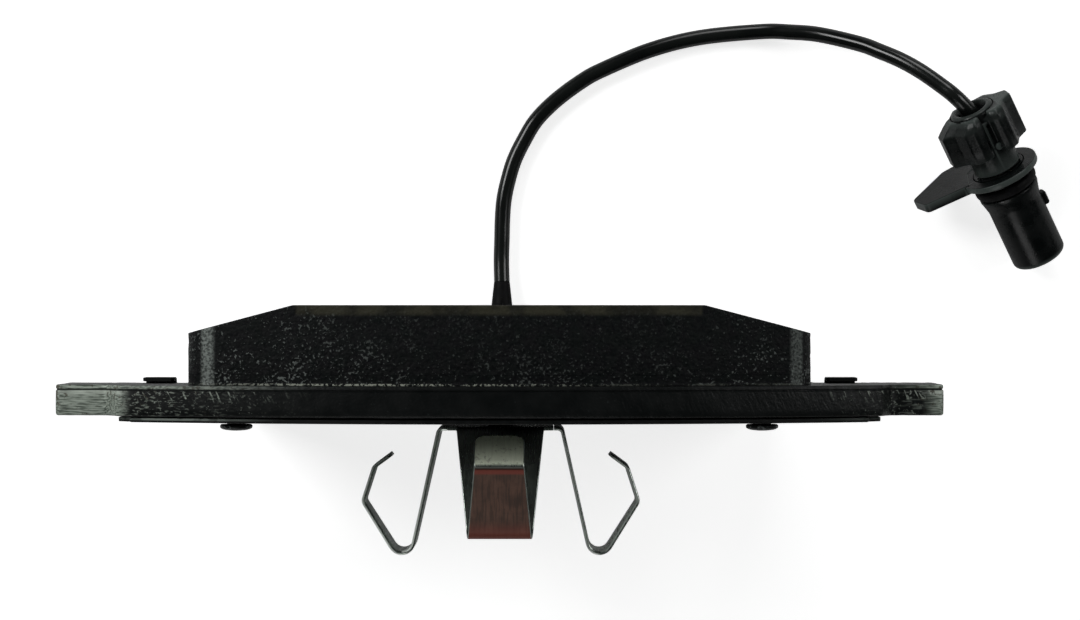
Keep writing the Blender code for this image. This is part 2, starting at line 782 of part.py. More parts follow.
def cable_seal(plug):
    """Rubber seal in the housing, with a hole for each core."""
    radius = HOUSING_BORE_R - GAP
    made = add_piece("cable_seal", turned([(radius, -0.0109), (radius, -0.0084)]), RUBBER, plug)
    for side in (-1, 1):
        ring = circle(CORE_R + GAP, (side * CORE_X, 0), 12)
        guide = add_piece(f"seal_guide_{side}", disc_stack(ring, -0.012, -0.007), GUIDE, plug)
        boolean(made, guide, "DIFFERENCE")
    return made


def contact_carrier(plug):
    """Insert that holds the two contacts in the barrel."""
    radius = BARREL_BORE_R - GAP
    made = add_piece("contact_carrier", turned([(radius, 0.0015), (radius, 0.0173)]), CARRIER, plug)
    for side in (-1, 1):
        ring = circle(0.0011, (side * CONTACT_X, 0), 12)
        guide = add_piece(f"carrier_guide_{side}", disc_stack(ring, 0.0, 0.019), GUIDE, plug)
        boolean(made, guide, "DIFFERENCE")
    return made


def contacts_and_cores(plug):
    """Two brass contacts, each with the core of the cable that is crimped to it."""
    for side, label in ((-1, "left"), (1, "right")):
        profile = [
            (0.0008, -0.0063),
            (0.0008, -0.0020),
            (0.00065, -0.0015),
            (0.00065, 0.0165),
            (0.0004, 0.0168),
        ]
        add_piece(f"contact_{label}", turned(profile, 12), BRASS, plug, (side * CONTACT_X, 0, 0))
        core = [(CORE_R, -0.0110), (CORE_R, -0.0066)]
        add_piece(f"core_{label}", turned(core, 10), CORE, plug, (side * CORE_X, 0, 0))


def seal_ring(plug):
    """Rubber ring in the barrel's groove."""
    inner = GROOVE_R + GAP
    start = GROOVE_START + GAP
    end = GROOVE_END - GAP
    profile = [
        (inner, start),
        (SEAL_R - SEAL_ROUND, start),
        (SEAL_R, start + SEAL_ROUND),
        (SEAL_R, end - SEAL_ROUND),
        (SEAL_R - SEAL_ROUND, end),
        (inner, end),
    ]
    return add_piece("seal_ring", turned(profile, closed=True), RUBBER, plug)


def lock_ring(plug):
    """Ring that turns on the barrel's journal, with its lever; origin on the axis."""
    profile = [(RING_BORE_R, 0), (RING_R, 0), (RING_R, RING_THICKNESS), (RING_BORE_R, RING_THICKNESS)]
    made = add_piece("lock_ring", turned(profile, 32, closed=True), PLASTIC, plug)
    corners = [
        (-0.0066, 0.0010, 0),
        (-0.0156, -0.0008, 0.0012),
        (-0.0167, -0.0060, 0.0014),
        (-0.0083, -0.0118, 0.0015),
        (-0.0052, -0.0118, 0.0015),
        (-0.0020, -0.0064, 0),
        (-0.0050, -0.0050, 0),
    ]
    shape = disc_stack(rounded(corners, steps=3), -0.0001, LEVER_THICKNESS)
    lever = add_piece("lever_guide", shape, GUIDE, plug)
    boolean(made, lever, "UNION")
    return made


# ---------------------------------------------------------------- assembly
clear_scene()
STEEL_BLACK = material("black_painted_steel", (0.015, 0.016, 0.016), 0.42, 0.2)
FRICTION = material("friction_compound", (0.020, 0.021, 0.021), 0.85)
UNDERLAYER = material("bond_compound", (0.035, 0.033, 0.030), 0.8)
SHIM = material("coated_shim", (0.012, 0.013, 0.013), 0.5, 0.1)
SPRING = material("spring_steel", (0.40, 0.40, 0.37), 0.3, 1.0)
RIVET = material("rivet_steel", (0.10, 0.10, 0.10), 0.4, 0.8)
PLASTIC = material("black_nylon", (0.014, 0.015, 0.015), 0.45)
RUBBER = material("black_rubber", (0.010, 0.010, 0.010), 0.6)
CABLE = material("cable_jacket", (0.010, 0.010, 0.010), 0.3)
SENSOR_TIP = material("brown_thermoset", (0.16, 0.07, 0.03), 0.6)
CARRIER = material("grey_nylon", (0.10, 0.10, 0.10), 0.5)
COPPER = material("copper_wire", (0.72, 0.35, 0.20), 0.3, 1.0)
BRASS = material("brass_contact", (0.75, 0.58, 0.28), 0.3, 1.0)
CORE = material("core_insulation", (0.30, 0.04, 0.03), 0.5)
GUIDE = material("guide", (0.8, 0.8, 0.8), 0.5)

STAND = empty("stand", matrix=Matrix.Translation((0, 0, STAND_Z)))
POCKET = sensor_pocket(STAND)
CLIP_HOLE = hole_guide("clip_hole", CLIP_RIVET_SHANK_R + GAP, 0, CLIP_Z, STAND)
SHIM_HOLES = [
    hole_guide(f"shim_hole_{side}", SHIM_RIVET_SHANK_R + GAP, side * SHIM_RIVET_X, SHIM_RIVET_Z, STAND)
    for side in (-1, 1)
]
KEY_HOLES = [hole_guide(f"key_hole_{side}", KEY_HOLE_R, side * KEY_X, KEY_Z, STAND) for side in (-1, 1)]

backing_plate(STAND, POCKET, [CLIP_HOLE, *SHIM_HOLES, *KEY_HOLES])
friction_block(STAND, POCKET)
underlayer(STAND, POCKET)
damping_shim(STAND, [CLIP_HOLE, *SHIM_HOLES, POCKET])
SHIM_BACK_Y = SHIM_FRONT_Y - SHIM_THICKNESS
RIVET_END_Y = PLATE_FRONT_Y - GAP
for sign, word in ((-1, "left"), (1, "right")):
    rivet(
        f"shim_rivet_{word}",
        SHIM_RIVET_HEAD_R,
        SHIM_RIVET_HEAD,
        SHIM_RIVET_SHANK_R,
        SHIM_BACK_Y,
        RIVET_END_Y,
        STAND,
        sign * SHIM_RIVET_X,
        SHIM_RIVET_Z,
    )
clip_base(STAND, CLIP_HOLE)
rivet(
    "clip_rivet",
    CLIP_RIVET_HEAD_R,
    CLIP_RIVET_HEAD,
    CLIP_RIVET_SHANK_R,
    CLIP_Y - STRIP / 2,
    RIVET_END_Y,
    STAND,
    0,
    CLIP_Z,
    (CLIP_RIVET_SHOULDER_R, SHIM_BACK_Y - GAP, CLIP_Y + STRIP / 2 + GAP),
)
clip_fingers(STAND)

sensor_body(STAND)
sensor_tip(STAND)
sensor_loop(STAND)
strain_relief(STAND)
PLUG_MATRIX = plug_frame()
sensor_cable(STAND, PLUG_MATRIX)

PLUG = empty("plug", STAND, PLUG_MATRIX)
plug_barrel(PLUG)
plug_housing(PLUG)
plug_collar(PLUG)
cable_seal(PLUG)
contact_carrier(PLUG)
contacts_and_cores(PLUG)
seal_ring(PLUG)
lock_ring(PLUG)
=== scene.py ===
"""Looks of a disc brake pad with a riveted spring clip and a wired wear sensor.

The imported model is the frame: every piece here is built in metres in that frame, stands for
the CAD node it is named after, and rides on that node's body. Pad pieces are worked out in X,
Y and the height above the surface that the pad stands on. Plug pieces are worked out in the
plug's own frame, whose Z runs along the barrel to its open end.
"""

import math

import bmesh
import bpy
import numpy as np
from mathutils import Matrix, Vector


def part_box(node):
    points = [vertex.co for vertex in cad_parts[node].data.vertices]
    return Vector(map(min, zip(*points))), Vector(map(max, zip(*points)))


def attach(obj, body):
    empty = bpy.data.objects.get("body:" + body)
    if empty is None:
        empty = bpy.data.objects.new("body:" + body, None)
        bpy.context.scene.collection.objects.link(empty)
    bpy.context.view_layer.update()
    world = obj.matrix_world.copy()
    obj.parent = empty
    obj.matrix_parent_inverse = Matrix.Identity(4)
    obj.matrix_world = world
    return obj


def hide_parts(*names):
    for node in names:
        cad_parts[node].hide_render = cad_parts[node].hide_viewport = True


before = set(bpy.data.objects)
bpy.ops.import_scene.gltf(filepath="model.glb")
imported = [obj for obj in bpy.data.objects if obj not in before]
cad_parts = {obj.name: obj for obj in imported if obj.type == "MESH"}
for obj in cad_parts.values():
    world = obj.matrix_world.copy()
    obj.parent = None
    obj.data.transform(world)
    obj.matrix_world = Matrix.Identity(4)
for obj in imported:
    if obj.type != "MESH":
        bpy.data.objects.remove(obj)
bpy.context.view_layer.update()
MM = 0.001
GAP = 0.0003
TURN = 2 * math.pi

# ---------------------------------------------------------------- sizes, in metres
PLATE_LOW, PLATE_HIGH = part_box("backing_plate")
FLOOR_Z = PLATE_LOW.z
STAND = Matrix.Translation((0, 0, FLOOR_Z))
FRICTION_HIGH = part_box("friction_block")[1]
LAYER_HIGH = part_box("underlayer")[1]

# Backing plate
PLATE_TOP = PLATE_HIGH.z - FLOOR_Z
PLATE_ARC_R = 0.190
PLATE_FRONT = PLATE_HIGH.y
PLATE_BACK = PLATE_LOW.y
ARCH_TOP = 0.008
ARCH_HALF_SPAN = 0.038
FOOT_X = 0.0520
FLANK = (0.0555, 0.012)
NECK_X = 0.0565
RELIEF = (0.0080, 0.0012)
EAR_X = PLATE_HIGH.x
EAR_LOW = 0.0430
EAR_TOP = 0.0586
SHOULDER_X = 0.0664
SHOULDER_FOOT_X = 0.0683

# Friction block
FRICTION_X = FRICTION_HIGH.x
FRICTION_TOP = FRICTION_HIGH.z - FLOOR_Z
FRICTION_ARC_R = PLATE_ARC_R - (PLATE_TOP - FRICTION_TOP)
FRICTION_ARCH = 0.011
FRICTION_FOOT = (0.0505, 0.0006)
FRICTION_CORNER_R = 0.004
CHAMFER_START = 0.0354
CHAMFER_DEPTH = 0.0049

# Sensor pocket
SENSOR_X = -0.0003
POCKET_HALF = 0.0053
POCKET_TOP = 0.0193
POCKET_FRONT = -0.0094
SLOT_DEPTH = 0.0021

# Damping shim and rivets
SHIM_THICKNESS = 0.0008
SHIM_FRONT = PLATE_BACK - 0.00025
SHIM_BACK = SHIM_FRONT - SHIM_THICKNESS
SHIM_END_X = 0.0666
SHIM_INSET = 0.001
HOOK_X = (0.0580, 0.0637)
HOOK_THICKNESS = 0.0007
HOOK_RISE = 0.0050
HOOK_SEAT = EAR_LOW + RELIEF[1] - GAP
SHIM_RIVET = (0.0455, 0.0625)

# Spring clip
CLIP_Z = 0.038
STRIP = 0.0007
CLIP_STANDOFF = 0.0011
CLIP_Y = SHIM_BACK - CLIP_STANDOFF - GAP - STRIP / 2
CLIP_HALF_WIDTH = 0.0079
CLIP_ARM = 0.0095
CLIP_TAIL = 0.0085
HINGE_GAP = 0.0001
BEND_HALF_WIDTH = 0.0057
TIP_HALF_WIDTH = 0.00435
TIP_ROUND = 0.0014

# Cable
CABLE_R = 0.0015
CABLE_STEP = 0.0007
RELIEF_START = Vector((SENSOR_X, -0.0094, 0.0028))
RELIEF_END = Vector((SENSOR_X, 0.00458, 0.0020))
CABLE_ROUTE = (
    (-0.0003, 0.0046, 0.0020),
    (-0.0004, 0.0088, 0.0016),
    (-0.0003, 0.0127, 0.0016),
    (-0.0002, 0.0166, 0.0016),
    (0.0001, 0.0205, 0.0016),
    (0.0009, 0.0243, 0.0016),
    (0.0021, 0.0282, 0.0016),
    (0.0040, 0.0321, 0.0016),
    (0.0064, 0.0360, 0.0016),
    (0.0102, 0.0398, 0.0016),
    (0.0149, 0.0433, 0.0016),
    (0.0190, 0.0456, 0.0016),
    (0.0284, 0.0495, 0.0016),
    (0.0380, 0.0519, 0.0017),
    (0.0497, 0.0530, 0.0024),
    (0.0552, 0.0528, 0.0037),
    (0.0609, 0.0521, 0.0056),
    (0.0682, 0.0500, 0.0092),
    (0.0718, 0.0484, 0.0113),
    (0.0756, 0.0465, 0.0134),
    (0.0792, 0.0442, 0.0152),
    (0.0831, 0.0412, 0.0167),
)

# Plug
PLUG_CENTRE = Vector((0.0943, 0.0262, 0.0117))
PLUG_HEADING = math.radians(-61.6)
PLUG_TILT = math.radians(20.0)
CABLE_SEAT = -0.0118
CABLE_APPROACH = (-0.0016, 0, CABLE_SEAT - 0.0048)
BARREL_R = 0.0052
BARREL_END = 0.0203
BARREL_BORE = 0.0039
RING_R = 0.0075
RING_BORE = 0.00525
RING_THICKNESS = 0.0012
LEVER_THICKNESS = 0.00175
CONTACT_X = 0.0015
CORE_X = 0.00105

# Camera
VIEW_PLACE = (0.00707, -0.00085, FLOOR_Z + 0.574)
VIEW_LENS = 98.5


# ---------------------------------------------------------------- lines and outlines
def rounded(corners, closed=True, steps=6):
    """A line through corners (a, b, radius). Each corner with a radius becomes the arc of
    that radius that touches both of its sides."""
    spots = np.array([corner[:2] for corner in corners], float)
    points = []
    for i, (a, b, radius) in enumerate(corners):
        if radius == 0 or (not closed and i in (0, len(corners) - 1)):
            points.append((a, b))
            continue
        before = spots[i - 1] - spots[i]
        after = spots[(i + 1) % len(spots)] - spots[i]
        before /= np.linalg.norm(before)
        after /= np.linalg.norm(after)
        half = math.acos(np.clip(before @ after, -1, 1)) / 2
        middle = (before + after) / np.linalg.norm(before + after)
        centre = spots[i] + middle * radius / math.sin(half)
        start = spots[i] + before * radius / math.tan(half) - centre
        end = spots[i] + after * radius / math.tan(half) - centre
        sweep = math.atan2(start[0] * end[1] - start[1] * end[0], start @ end)
        turn = sweep * np.linspace(0, 1, steps + 1)
        arc_a = centre[0] + start[0] * np.cos(turn) - start[1] * np.sin(turn)
        arc_b = centre[1] + start[0] * np.sin(turn) + start[1] * np.cos(turn)
        points.extend(zip(arc_a, arc_b))
    return np.array(points)


def crowned(from_x, to_x, top, radius, count=40):
    """Corners without a radius along an arc that crowns at x = 0 and height top."""
    x = np.linspace(from_x, to_x, count)
    return [(a, b, 0) for a, b in zip(x, top - radius + np.sqrt(radius**2 - x**2))]


def arc_radius(half_span, rise):
    """Radius of the arc that rises by rise over half_span."""
    return (half_span**2 + rise**2) / (2 * rise)


def evenly(points, step, closed=True):
    """The same line with points an even step apart, read off by length along it."""
    line = np.vstack([points, points[:1]]) if closed else np.asarray(points, float)
    run = np.r_[0, np.cumsum(np.linalg.norm(np.diff(line, axis=0), axis=1))]
    count = max(round(run[-1] / step), 8)
    at = np.linspace(0, run[-1], count + 1)
    if closed:
        at = at[:-1]
    return np.stack([np.interp(at, run, line[:, k]) for k in range(line.shape[1])], 1)


def outward(outline):
    """Unit normals of an anticlockwise outline: its direction, turned right by 90 degrees."""
    way = np.roll(outline, -1, 0) - np.roll(outline, 1, 0)
    normal = np.stack([way[:, 1], -way[:, 0]], 1)
    return normal / np.linalg.norm(normal, axis=1, keepdims=True)


def notched(half, arch_top):
    """A whole outline from its right half, with the sensor's notch in the middle of its foot."""
    left = [(-x, z, r) for x, z, r in reversed(half[:-1])]
    right_x = SENSOR_X + POCKET_HALF
    left_x = SENSOR_X - POCKET_HALF
    start = [(right_x, arch_top, 0.0003)]
    end = [(left_x, arch_top, 0.0003), (left_x, POCKET_TOP, 0.0005), (right_x, POCKET_TOP, 0.0005)]
    return start + half + left + end


# ---------------------------------------------------------------- shells
def quads(rows, columns, loop):
    """Corner numbers of the quads between neighbouring rings; loop joins the last to the first."""
    at = np.arange(rows * columns).reshape(rows, columns)
    low = at if loop else at[:-1]
    high = np.roll(at, -1, 0) if loop else at[1:]
    return np.stack([low, np.roll(low, -1, 1), np.roll(high, -1, 1), high], -1).reshape(-1, 4)


def shell(grid, loop=False, **masks):
    """Skin a grid of rings x points x 3. Each ring is closed, and flat caps close both ends,
    unless the last ring loops back to the first. Masks hold a value for each grid point."""
    rows, columns = grid.shape[:2]
    faces = quads(rows, columns, loop).tolist()
    if not loop:
        faces.append(list(range(columns)))
        faces.append(list(range((rows - 1) * columns, rows * columns)))
    flat = {name: np.broadcast_to(value, (rows, columns)).ravel() for name, value in masks.items()}
    return grid.reshape(-1, 3), faces, flat


def plain_object(name, made, place):
    """Put a shell's arrays into a mesh, and turn its faces outwards."""
    points, faces, masks = made
    turned_points = points @ np.array(place.to_3x3()).T + np.array(place.translation)
    mesh = bpy.data.meshes.new(name)
    mesh.from_pydata(turned_points, [], faces)
    for mask, value in masks.items():
        layer = mesh.attributes.new(mask, "FLOAT", "POINT")
        layer.data.foreach_set("value", value.astype(np.float32))
    work = bmesh.new()
    work.from_mesh(mesh)
    bmesh.ops.recalc_face_normals(work, faces=work.faces)
    work.to_mesh(mesh)
    work.free()
    made_object = bpy.data.objects.new(name, mesh)
    bpy.context.collection.objects.link(made_object)
    return made_object


def piece(name, made, look, body="pad", place=STAND, crease=38):
    """A named piece with its finish, standing for the CAD node of the same name."""
    whole = plain_object(f"{name}_skin", made, place)
    whole.data.materials.append(look)
    whole.data.shade_smooth()
    whole.data.set_sharp_from_angle(angle=math.radians(crease))
    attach(whole, body)
    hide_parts(name)
    return whole


def carve(target, made, operation="DIFFERENCE", place=STAND):
    """Cut a shell out of a piece, or join it on, and keep only the result."""
    tool = plain_object("tool", made, place)
    step = target.modifiers.new("tool", "BOOLEAN")
    step.operation = operation
    step.solver = "EXACT"
    step.object = tool
    graph = bpy.context.evaluated_depsgraph_get()
    result = bpy.data.meshes.new_from_object(target.evaluated_get(graph))
    target.modifiers.clear()
    result.shade_smooth()
    result.set_sharp_from_angle(angle=math.radians(38))
    target.data = result
    bpy.data.objects.remove(tool)


def flat_normals(target):
    """Let large flat faces keep their own normal beside the small faces of a rounded edge."""
    step = target.modifiers.new("flat_faces", "WEIGHTED_NORMAL")
    step.keep_sharp = True


def soften(target, width, segments=3, angle=40):
    """Round a piece's sharp edges."""
    step = target.modifiers.new("soft_edges", "BEVEL")
    step.width = width
    step.segments = segments
    step.limit_method = "ANGLE"
    step.angle_limit = math.radians(angle)
    flat_normals(target)


def roughen(target, height, axes=(1, 1, 1)):
    """Move each point along its normal by height, which is a function of the points, and only
    along the axes that are 1."""
    mesh = target.data
    count = len(mesh.vertices)
    spots = np.empty(count * 3)
    mesh.vertices.foreach_get("co", spots)
    normals = np.empty(count * 3, np.float32)
    mesh.vertex_normals.foreach_get("vector", normals)
    spots = spots.reshape(-1, 3)
    moved = spots + normals.reshape(-1, 3) * axes * height(spots)[:, None]
    mesh.vertices.foreach_set("co", moved.ravel())
    mesh.update()


def lattice_noise(points, size, seed):
    """Smooth noise from -1 to 1: random values on a cubic lattice of that size, blended by
    the cubic 3t^2 - 2t^3 along each axis."""
    cell = points / size
    base = np.floor(cell).astype(int)
    part = cell - base
    part = part * part * (3 - 2 * part)
    table = np.random.default_rng(seed).random((32, 32, 32)) * 2 - 1
    total = np.zeros(len(points))
    for corner in np.ndindex(2, 2, 2):
        at = (base + corner) % 32
        weight = np.where(corner, part, 1 - part).prod(1)
        total += weight * table[at[:, 0], at[:, 1], at[:, 2]]
    return total


def slab(outline, section, upright=True):
    """A slab: each ring is the outline drawn in by an inset along its normals, at a depth. The
    section lists (depth, inset). Upright outlines are in X and Z and the depth is Y; otherwise
    they are in X and Y and the depth is Z. The rim mask is 0 on the caps' own rings."""
    normal = outward(outline)
    depth = np.array([d for d, _ in section])[:, None]
    inset = np.array([i for _, i in section])[:, None]
    a = outline[:, 0] - normal[:, 0] * inset
    b = outline[:, 1] - normal[:, 1] * inset
    depth = np.broadcast_to(depth, a.shape)
    rim = np.ones(len(section))
    rim[[0, -1]] = 0
    grid = np.stack([a, depth, b] if upright else [a, b, depth], -1)
    return shell(grid, rim=rim[:, None])


def edged(front, back, radius, steps=4):
    """Section of a slab whose two edges are rounded by quarter-arcs of that radius."""
    sign = 1 if front > back else -1
    turn = np.linspace(0, math.pi / 2, steps + 1)
    into = radius * (1 - np.cos(turn))
    first = [(front - sign * d, i) for d, i in zip(into, radius - radius * np.sin(turn))]
    last = [(back + sign * d, i) for d, i in zip(into[::-1], (radius - radius * np.sin(turn))[::-1])]
    return first + last


def turned(profile, sides=72, loop=False):
    """A profile of (radius, z) points turned round Z."""
    profile = np.asarray(profile, float)
    turn = np.linspace(0, TURN, sides, endpoint=False)
    x = profile[:, 0, None] * np.cos(turn)
    y = profile[:, 0, None] * np.sin(turn)
    z = np.broadcast_to(profile[:, 1, None], x.shape)
    return shell(np.stack([x, y, z], -1), loop)


def box(low, high):
    """A box between two corners: its lower and its upper rectangle, joined."""
    (x0, y0, z0), (x1, y1, z1) = low, high
    ring = np.array([(x0, y0), (x1, y0), (x1, y1), (x0, y1)])
    grid = np.array([np.c_[ring, np.full(4, z)] for z in (z0, z1)])
    return shell(grid)


def shifted(made, offset, turn=None):
    """A shell moved by an offset, after a turn."""
    points, faces, masks = made
    if turn is not None:
        points = points @ np.array(turn).T
    return points + np.array(offset), faces, masks


# ---------------------------------------------------------------- shader tools
def node(tree, kind, inputs=None, **settings):
    """A shader node with its settings; inputs gives sockets a value or another node's output."""
    made = tree.nodes.new(f"ShaderNode{kind}")
    for name, value in settings.items():
        setattr(made, name, value)
    for socket, value in (inputs or {}).items():
        if isinstance(value, bpy.types.NodeSocket):
            tree.links.new(value, made.inputs[socket])
        else:
            made.inputs[socket].default_value = value
    return made


def ramped(tree, value, low, high, to_low=0.0, to_high=1.0):
    """The value carried smoothly from low..high to another range, and held outside it."""
    sockets = {"Value": value, "From Min": low, "From Max": high, "To Min": to_low, "To Max": to_high}
    return node(tree, "MapRange", sockets, interpolation_type="SMOOTHSTEP").outputs["Result"]


def maths(tree, operation, a, b=0.0):
    """One arithmetic step on two values."""
    return node(tree, "Math", {0: a, 1: b}, operation=operation).outputs[0]


def most(tree, a, b):
    """The larger of two masks."""
    return maths(tree, "MAXIMUM", a, b)


def times(tree, *values):
    """The product of several masks."""
    total = values[0]
    for value in values[1:]:
        total = maths(tree, "MULTIPLY", total, value)
    return total


def band(tree, value, rise, fall):
    """A mask that is 1 between two ramps, each given by where it is 0 and where it is 1."""
    return times(tree, ramped(tree, value, *rise), ramped(tree, value, *fall))


def blended(tree, mask, under, over):
    """The colour over, laid on the colour under where the mask is 1."""
    made = node(tree, "Mix", {"Factor": mask}, data_type="RGBA")
    for socket, value in ((made.inputs[6], under), (made.inputs[7], over)):
        if isinstance(value, bpy.types.NodeSocket):
            tree.links.new(value, socket)
        else:
            socket.default_value = (*value, 1)
    return made.outputs[2]


def new_group(name, inputs, outputs):
    """An empty node group with named sockets: (name, kind, value) in, (name, kind) out."""
    tree = bpy.data.node_groups.new(name, "ShaderNodeTree")
    for label, kind, value in inputs:
        socket = tree.interface.new_socket(label, in_out="INPUT", socket_type=f"NodeSocket{kind}")
        if value is not None:
            socket.default_value = value
    for label, kind in outputs:
        tree.interface.new_socket(label, in_out="OUTPUT", socket_type=f"NodeSocket{kind}")
    return tree, tree.nodes.new("NodeGroupInput").outputs, tree.nodes.new("NodeGroupOutput").inputs


def flecks_group():
    """Scattered flecks: the peaks of fine noise above a level that coarse noise moves."""
    inputs = [("Vector", "Vector", None), ("Scale", "Float", 900.0), ("Level", "Float", 0.6)]
    inputs += [("Patches", "Float", 120.0), ("Patchiness", "Float", 0.1)]
    tree, given, result = new_group("flecks", inputs, [("Mask", "Float"), ("Height", "Float")])
    fine = node(tree, "TexNoise", {"Vector": given["Vector"], "Scale": given["Scale"], "Detail": 2.0})
    coarse = node(tree, "TexNoise", {"Vector": given["Vector"], "Scale": given["Patches"], "Detail": 1.0})
    drift = maths(tree, "MULTIPLY", maths(tree, "SUBTRACT", coarse.outputs["Fac"], 0.5), given["Patchiness"])
    level = maths(tree, "SUBTRACT", given["Level"], drift)
    over = maths(tree, "SUBTRACT", fine.outputs["Fac"], level)
    tree.links.new(ramped(tree, over, 0.0, 0.08), result["Mask"])
    tree.links.new(fine.outputs["Fac"], result["Height"])
    return tree


def strokes_group():
    """Fine scratches: noise squeezed along one axis, kept where it peaks."""
    inputs = [("Vector", "Vector", None), ("Squeeze", "Vector", (1.0, 1.0, 1.0))]
    inputs += [("Scale", "Float", 500.0), ("Level", "Float", 0.6)]
    tree, given, result = new_group("strokes", inputs, [("Mask", "Float"), ("Height", "Float")])
    sockets = {0: given["Vector"], 1: given["Squeeze"]}
    squeezed = node(tree, "VectorMath", sockets, operation="MULTIPLY").outputs[0]
    fine = node(tree, "TexNoise", {"Vector": squeezed, "Scale": given["Scale"], "Detail": 3.0})
    over = maths(tree, "SUBTRACT", fine.outputs["Fac"], given["Level"])
    tree.links.new(ramped(tree, over, 0.0, 0.06), result["Mask"])
    tree.links.new(fine.outputs["Fac"], result["Height"])
    return tree


def mottle_group():
    """Slow changes of tone: coarse noise that blends two colours, and the same as a value."""
    inputs = [("Vector", "Vector", None), ("Scale", "Float", 100.0)]
    inputs += [("Dark", "Color", (0, 0, 0, 1)), ("Light", "Color", (1, 1, 1, 1))]
    tree, given, result = new_group("mottle", inputs, [("Colour", "Color"), ("Value", "Float")])
    noise = node(tree, "TexNoise", {"Vector": given["Vector"], "Scale": given["Scale"], "Detail": 4.0})
    part = ramped(tree, noise.outputs["Fac"], 0.32, 0.68)
    mix = node(tree, "Mix", {"Factor": part, 6: given["Dark"], 7: given["Light"]}, data_type="RGBA")
    tree.links.new(mix.outputs[2], result["Colour"])
    tree.links.new(part, result["Value"])
    return tree


def edge_highlight_group():
    """Painted highlight along rounded edges: the rim mask of the piece, eaten into by noise."""
    inputs = [("Vector", "Vector", None), ("Edge", "Float", 0.0)]
    inputs += [("Scale", "Float", 700.0), ("Amount", "Float", 0.5)]
    tree, given, result = new_group("edge_highlight", inputs, [("Mask", "Float")])
    noise = node(tree, "TexNoise", {"Vector": given["Vector"], "Scale": given["Scale"], "Detail": 3.0})
    reach = maths(tree, "ADD", maths(tree, "SUBTRACT", noise.outputs["Fac"], 0.8), given["Amount"])
    tree.links.new(times(tree, given["Edge"], ramped(tree, reach, 0.0, 0.25)), result["Mask"])
    return tree


FLECKS = flecks_group()
STROKES = strokes_group()
MOTTLE = mottle_group()
EDGE_HIGHLIGHT = edge_highlight_group()


def effect(tree, group, **values):
    """One of the shared effects, placed in a material with its own values."""
    made = node(tree, "Group", node_tree=group)
    for socket, value in values.items():
        if isinstance(value, bpy.types.NodeSocket):
            tree.links.new(value, made.inputs[socket])
        else:
            made.inputs[socket].default_value = value
    return made.outputs


def mottled(tree, place, scale, dark, light):
    """The mottle effect between two tones."""
    return effect(tree, MOTTLE, Vector=place, Scale=scale, Dark=(*dark, 1), Light=(*light, 1))


def mask_of(tree, name):
    """A mask that a piece's mesh carries."""
    return node(tree, "Attribute", attribute_name=name).outputs["Fac"]


def finish(name, build, metallic=0.0, coat=0.0, specular=0.5):
    """A material: build returns the sockets of its Principled BSDF and its bump height with
    the bump's depth in metres."""
    made = bpy.data.materials.new(name)
    made.use_nodes = True
    tree = made.node_tree
    shader = tree.nodes["Principled BSDF"]
    shader.inputs["Metallic"].default_value = metallic
    shader.inputs["Coat Weight"].default_value = coat
    shader.inputs["Specular IOR Level"].default_value = specular
    place = node(tree, "TexCoord").outputs["Object"]
    sockets, height, depth = build(tree, place)
    for socket, value in sockets.items():
        if isinstance(value, bpy.types.NodeSocket):
            tree.links.new(value, shader.inputs[socket])
        else:
            shader.inputs[socket].default_value = value
    bump = node(tree, "Bump", {"Height": height, "Distance": depth, "Strength": 1.0})
    tree.links.new(bump.outputs["Normal"], shader.inputs["Normal"])
    return made


